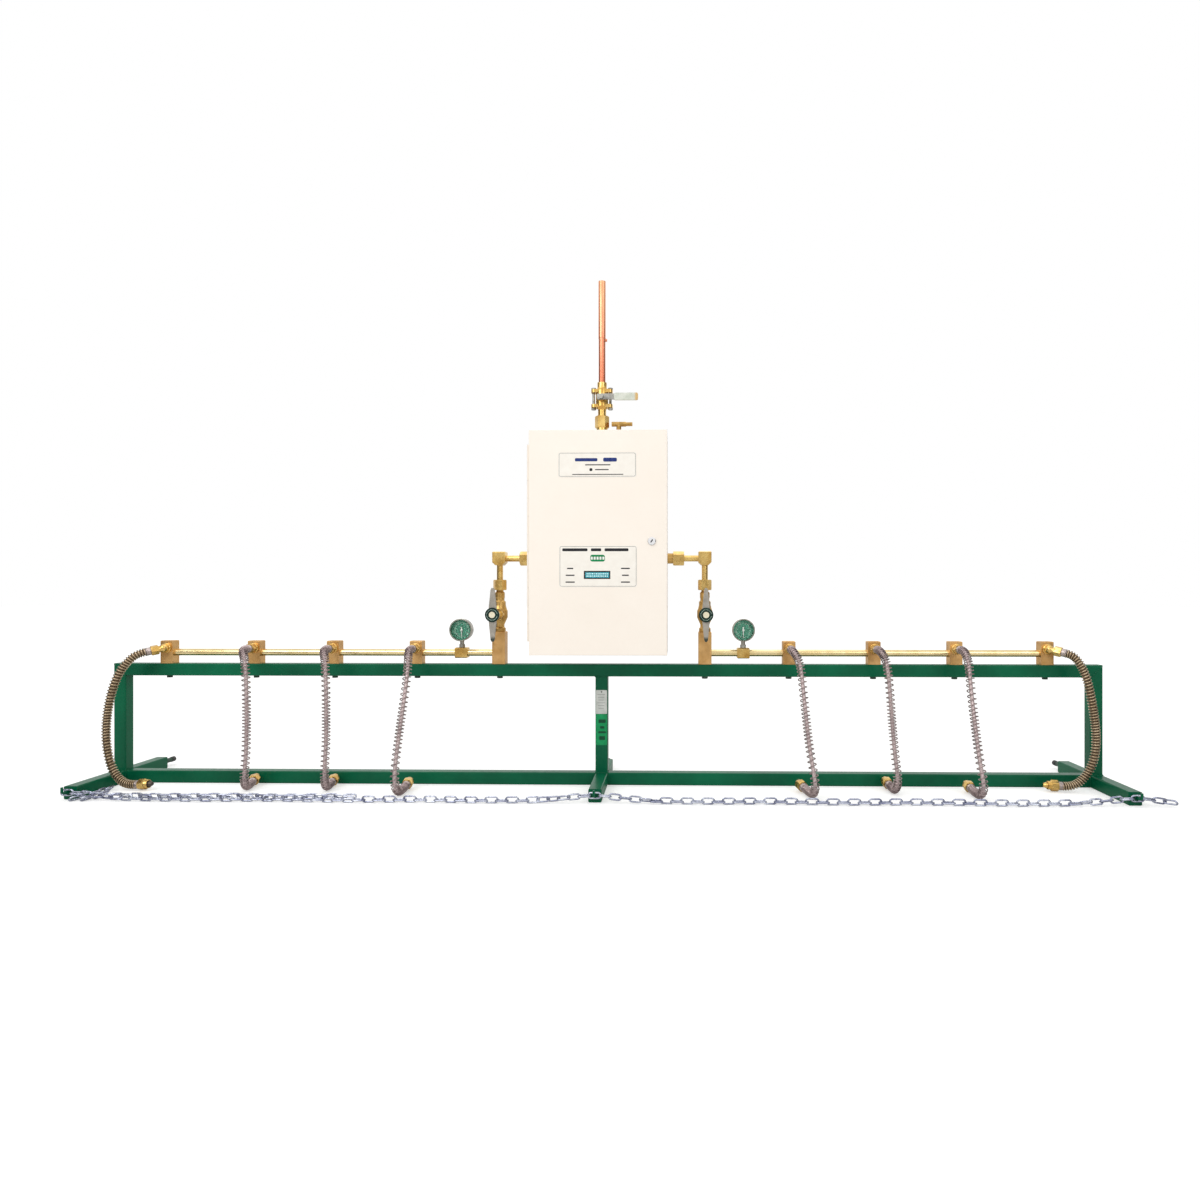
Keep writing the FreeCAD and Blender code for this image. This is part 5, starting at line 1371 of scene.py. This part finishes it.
@dataclass
class Outlet:
    """The outlet on the roof: union, ball valve with its lever, copper pipe and vent."""

    part: PackedPart

    def build(self) -> None:
        """Builds every piece of the outlet."""
        self.part.dress({"outlet_nut": BRASS, "ball_valve_body": BRASS,
                         "ball_valve_bolts": GREY_STEEL, "ball_valve_lever": GREY_STEEL,
                         "lever_sleeve": LEVER_GRIP, "outlet_pipe": COPPER,
                         "vent_fitting": VALVE_BRASS})


@dataclass
class RestraintChain:
    """The chain of round-bar links in front of the rack, and the hooks that hold it."""

    part: PackedPart
    links: Recipe
    lean: float = math.pi / 4
    bar_rest: float = 0.65
    crease: float = math.radians(60)
    tails: tuple[tuple[tuple[float, float], ...], ...] = (
        ((-1.477, -0.238), (-1.461, -0.200), (-1.456, -0.150), (-1.464, -0.080)),
        ((-1.446, -0.236), (-1.432, -0.190), (-1.436, -0.135)),
        ((-1.408, -0.216), (-1.330, -0.206), (-1.240, -0.213), (-1.120, -0.209),
         (-1.000, -0.205), (-0.880, -0.214), (-0.760, -0.204), (-0.650, -0.208)))

    def build(self) -> None:
        """Builds the hooks, a round link where each solid link lies, and the loose tail."""
        self.part.dress({"chain_hooks": GREEN})
        middles, turns, sizes = zip(*(self.measure(solid) for _, solid
                                      in self.part.solids("restraint_chain")))
        size = tuple(float(value) for value in np.median(np.array(sizes), axis=0))
        length, width, bar = size
        lying = (width - bar) / 2 * math.sin(self.lean) + bar * self.bar_rest
        leant = []
        for middle, turn in zip(middles, turns):
            if middle.z < width / 2 + bar / 4:
                turn = turn @ Quaternion((1, 0, 0), self.lean)
                along, across = (turn @ Vector(axis) for axis in ((1, 0, 0), (0, 1, 0)))
                reach = abs(along.z) * (length - width) / 2 + abs(across.z) * (width - bar) / 2
                middle.z = max(lying, reach + bar * self.bar_rest)
            leant.append(turn)
        piece = Piece("restraint_chain_links")
        self.lay(piece, middles, leant, size)
        piece.done("frame", "zinc", ("restraint_chain",))
        tail = Piece("restraint_chain_left_tail")
        for path in self.tails:
            self.lay(tail, *self.strand(path, length - 2.3 * bar, lying), size)
        tail.done("frame", "zinc")

    @staticmethod
    def measure(solid: bmesh.types.BMesh) -> tuple[Vector, Quaternion, np.ndarray]:
        """A link's middle, turn and size, from how its points are spread."""
        spots = np.array([vert.co for vert in solid.verts])
        middle = spots.mean(axis=0)
        spread = spots - middle
        _, axes = np.linalg.eigh(spread.T @ spread)
        long_way, wide_way = Vector(axes[:, 2]), Vector(axes[:, 1])
        turn = Matrix((long_way, wide_way, long_way.cross(wide_way))).transposed()
        along = spread @ np.array(turn)
        return Vector(middle), turn.to_quaternion(), along.max(axis=0) - along.min(axis=0)

    def lay(self, piece: Piece, middles: Sequence[Vector], turns: Sequence[Quaternion],
            size: tuple[float, float, float]) -> None:
        """Adds round links to a piece.

        Args:
            piece: The piece that they become part of.
            middles: Where each link lies.
            turns: How each link is turned.
            size: The length, the width and the thickness of a link.
        """
        length, width, bar = size
        host = bpy.data.meshes.new("link_places")
        host.from_pydata(middles, [], [])
        layer = host.attributes.new("turn", "QUATERNION", "POINT")
        for value, turn in zip(layer.data, turns):
            value.value = turn
        piece.take(self.links.grow(host, ZINC, Length=length - bar, Width=width - bar,
                                   Bar_Radius=bar / 2), ZINC, crease=self.crease)

    def strand(self, path: Sequence[tuple[float, float]], pitch: float,
               height: float) -> tuple[list[Vector], list[Quaternion]]:
        """Places for links along a line on the floor, each rolled a quarter turn from the last.

        Args:
            path: The line's points on the floor.
            pitch: From one link's middle to the next.
            height: How high the middle of a leaning link lies.

        Returns:
            The links' middles and their turns.
        """
        middles, turns = [], []
        spot, rest = Vector((*path[0], 0)), list(path[1:])
        while rest:
            ahead = Vector((*rest[0], 0)) - spot
            if ahead.length < pitch:
                rest.pop(0)
                continue
            ahead.normalize()
            roll = self.lean if len(middles) % 2 else -self.lean
            middles.append(spot + Vector((0, 0, height)))
            turns.append(ahead.to_track_quat("X", "Z") @ Quaternion((1, 0, 0), roll))
            spot += ahead * pitch
        return middles, turns


@dataclass
class Studio:
    """The pale floor, the white surroundings, the lamps and the camera."""

    floor_reach: float = 30.0
    camera_place: Point = (0.225, -2.469, 0.591)
    camera_yaw: float = math.radians(1.27)
    lens: float = 23.94
    lens_shift: tuple[float, float] = (-0.0475, -0.0058)
    ambient: float = 0.62
    card_distance: float = 3.4

    def build(self) -> None:
        """Builds the surroundings."""
        self.floor()
        self.surroundings()
        self.lamp("key_lamp", (-2.2, -3.2, 3.0), (0.0, 0.0, 0.5), 2.4, 68.0)
        self.lamp("fill_lamp", (2.8, -3.4, 2.2), (0.2, 0.0, 0.4), 2.6, 34.0)
        self.lamp("top_lamp", (0.0, 0.6, 3.6), (0.0, 0.0, 0.2), 3.2, 26.0)
        side, front = self.card_distance, -self.card_distance - 1.0
        for x in (-side, side):
            self.card([(x, front, 0.0), (x, 1.6, 0.0), (x, 1.6, 2.6), (x, front, 2.6)])
        self.card([(-side, front, 0.25), (side, front, 0.25), (side, front, 0.85),
                   (-side, front, 0.85)])
        self.camera()
        bpy.context.scene.view_settings.view_transform = "Standard"

    @staticmethod
    def sheet(name: str, corners: Sequence[Point], material: bpy.types.Material,
              hidden: Sequence[str] = ()) -> None:
        """Adds a flat sheet, which some kinds of rays don't see."""
        mesh = bpy.data.meshes.new(name)
        mesh.from_pydata(corners, [], [(0, 1, 2, 3)])
        mesh.materials.append(material)
        sheet = linked(name, mesh)
        for ray in hidden:
            setattr(sheet, f"visible_{ray}", False)
        sheet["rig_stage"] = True

    def floor(self) -> None:
        """A white floor that keeps the object's shadow, and glows more with distance."""
        material = bpy.data.materials.new("floor_paint")
        material.use_nodes = True
        box = Paintbox(material.node_tree)
        tone = box.tones(0.8, 3.0, (228, 228, 226), (232, 232, 231))
        matt = box.out("BsdfDiffuse", {"Color": tone})
        path = box.add("LightPath").outputs
        far = box.fade(box.vector("LENGTH", box.place(), output="Value"), 1.8, 6.0, 0.42, 0.64)
        glow = box.out("Emission", {"Color": (1, 1, 1, 1), "Strength": box.maths(
            "MAXIMUM", box.times(path["Is Camera Ray"], far),
            box.times(path["Is Glossy Ray"], 0.06))})
        box.add("OutputMaterial", {"Surface": box.out("AddShader", {0: matt, 1: glow})})
        reach = self.floor_reach
        self.sheet("floor", [(-reach, -reach, 0), (reach, -reach, 0), (reach, reach, 0),
                             (-reach, reach, 0)], material)

    def card(self, corners: Sequence[Point]) -> None:
        """A dark card that only reflections show, which gives bright metal its dark sides."""
        material = bpy.data.materials.get("dark_card_cloth")
        if material is None:
            material = bpy.data.materials.new("dark_card_cloth")
            material.use_nodes = True
            box = Graph(material.node_tree)
            glow = box.out("Emission", {"Color": (1, 1, 1, 1), "Strength": 0.2})
            box.add("OutputMaterial", {"Surface": glow})
        self.sheet("dark_card", corners, material,
                   ("camera", "diffuse", "transmission", "volume_scatter", "shadow"))

    def surroundings(self) -> None:
        """White where it is seen, in a gloss or through glass too, and softer elsewhere."""
        world = bpy.data.worlds.new("studio")
        world.use_nodes = True
        box = Graph(world.node_tree)
        path = box.add("LightPath").outputs
        seen = box.maths("MAXIMUM", path["Is Camera Ray"], path["Is Glossy Ray"])
        seen = box.maths("MAXIMUM", seen, path["Is Transmission Ray"])
        strength = box.out("MapRange", {"Value": seen, "To Min": self.ambient, "To Max": 1.0})
        light = box.out("Background", {"Color": (1, 1, 1, 1), "Strength": strength})
        box.add("OutputWorld", {"Surface": light})
        bpy.context.scene.world = world

    def lamp(self, name: str, place: Point, target: Point, size: float, power: float) -> None:
        """One soft square lamp."""
        data = bpy.data.lights.new(name, "AREA")
        data.shape = "SQUARE"
        data.size = size
        data.energy = power
        lamp = linked(name, data)
        lamp.location = place
        aim = Vector(target) - Vector(place)
        lamp.rotation_euler = aim.to_track_quat("-Z", "Y").to_euler()

    def camera(self) -> None:
        """The camera at the photograph's angle."""
        data = bpy.data.cameras.new("camera")
        data.lens = self.lens
        data.shift_x, data.shift_y = self.lens_shift
        camera = linked("camera", data)
        camera.location = self.camera_place
        camera.rotation_euler = (math.pi / 2, 0, self.camera_yaw)
        bpy.context.scene.camera = camera


def main() -> None:
    """Builds every sub-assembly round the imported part, in order."""
    logging.basicConfig(level=logging.INFO, format="%(name)s: %(message)s")
    part = PackedPart()
    Studio().build()
    helix, ribs, marks = helix_recipe(), ribs_recipe(), marks_recipe()
    for name, points in ROUTES.items():
        route = [tuple(value / 1000 for value in point) for point in points]
        end_metal = CAP_STEEL if name == "left_pigtail_4" else BRASS
        thick = THICK_HOSE if name.endswith("4") else {}
        Pigtail(name, part, helix, ribs, route, end_metal, **thick).build()
    Rack(part, weld_recipe(), helix).build()
    Header(part).build()
    Gauge(part, marks).build()
    MasterValves(part, marks).build()
    Cabinet(part).build()
    Outlet(part).build()
    RestraintChain(part, chain_recipe()).build()
    ({"cad": [list(corner) for corner in part.box],
               "visual": [list(corner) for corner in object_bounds()]})


if __name__ == "__main__":
    main()
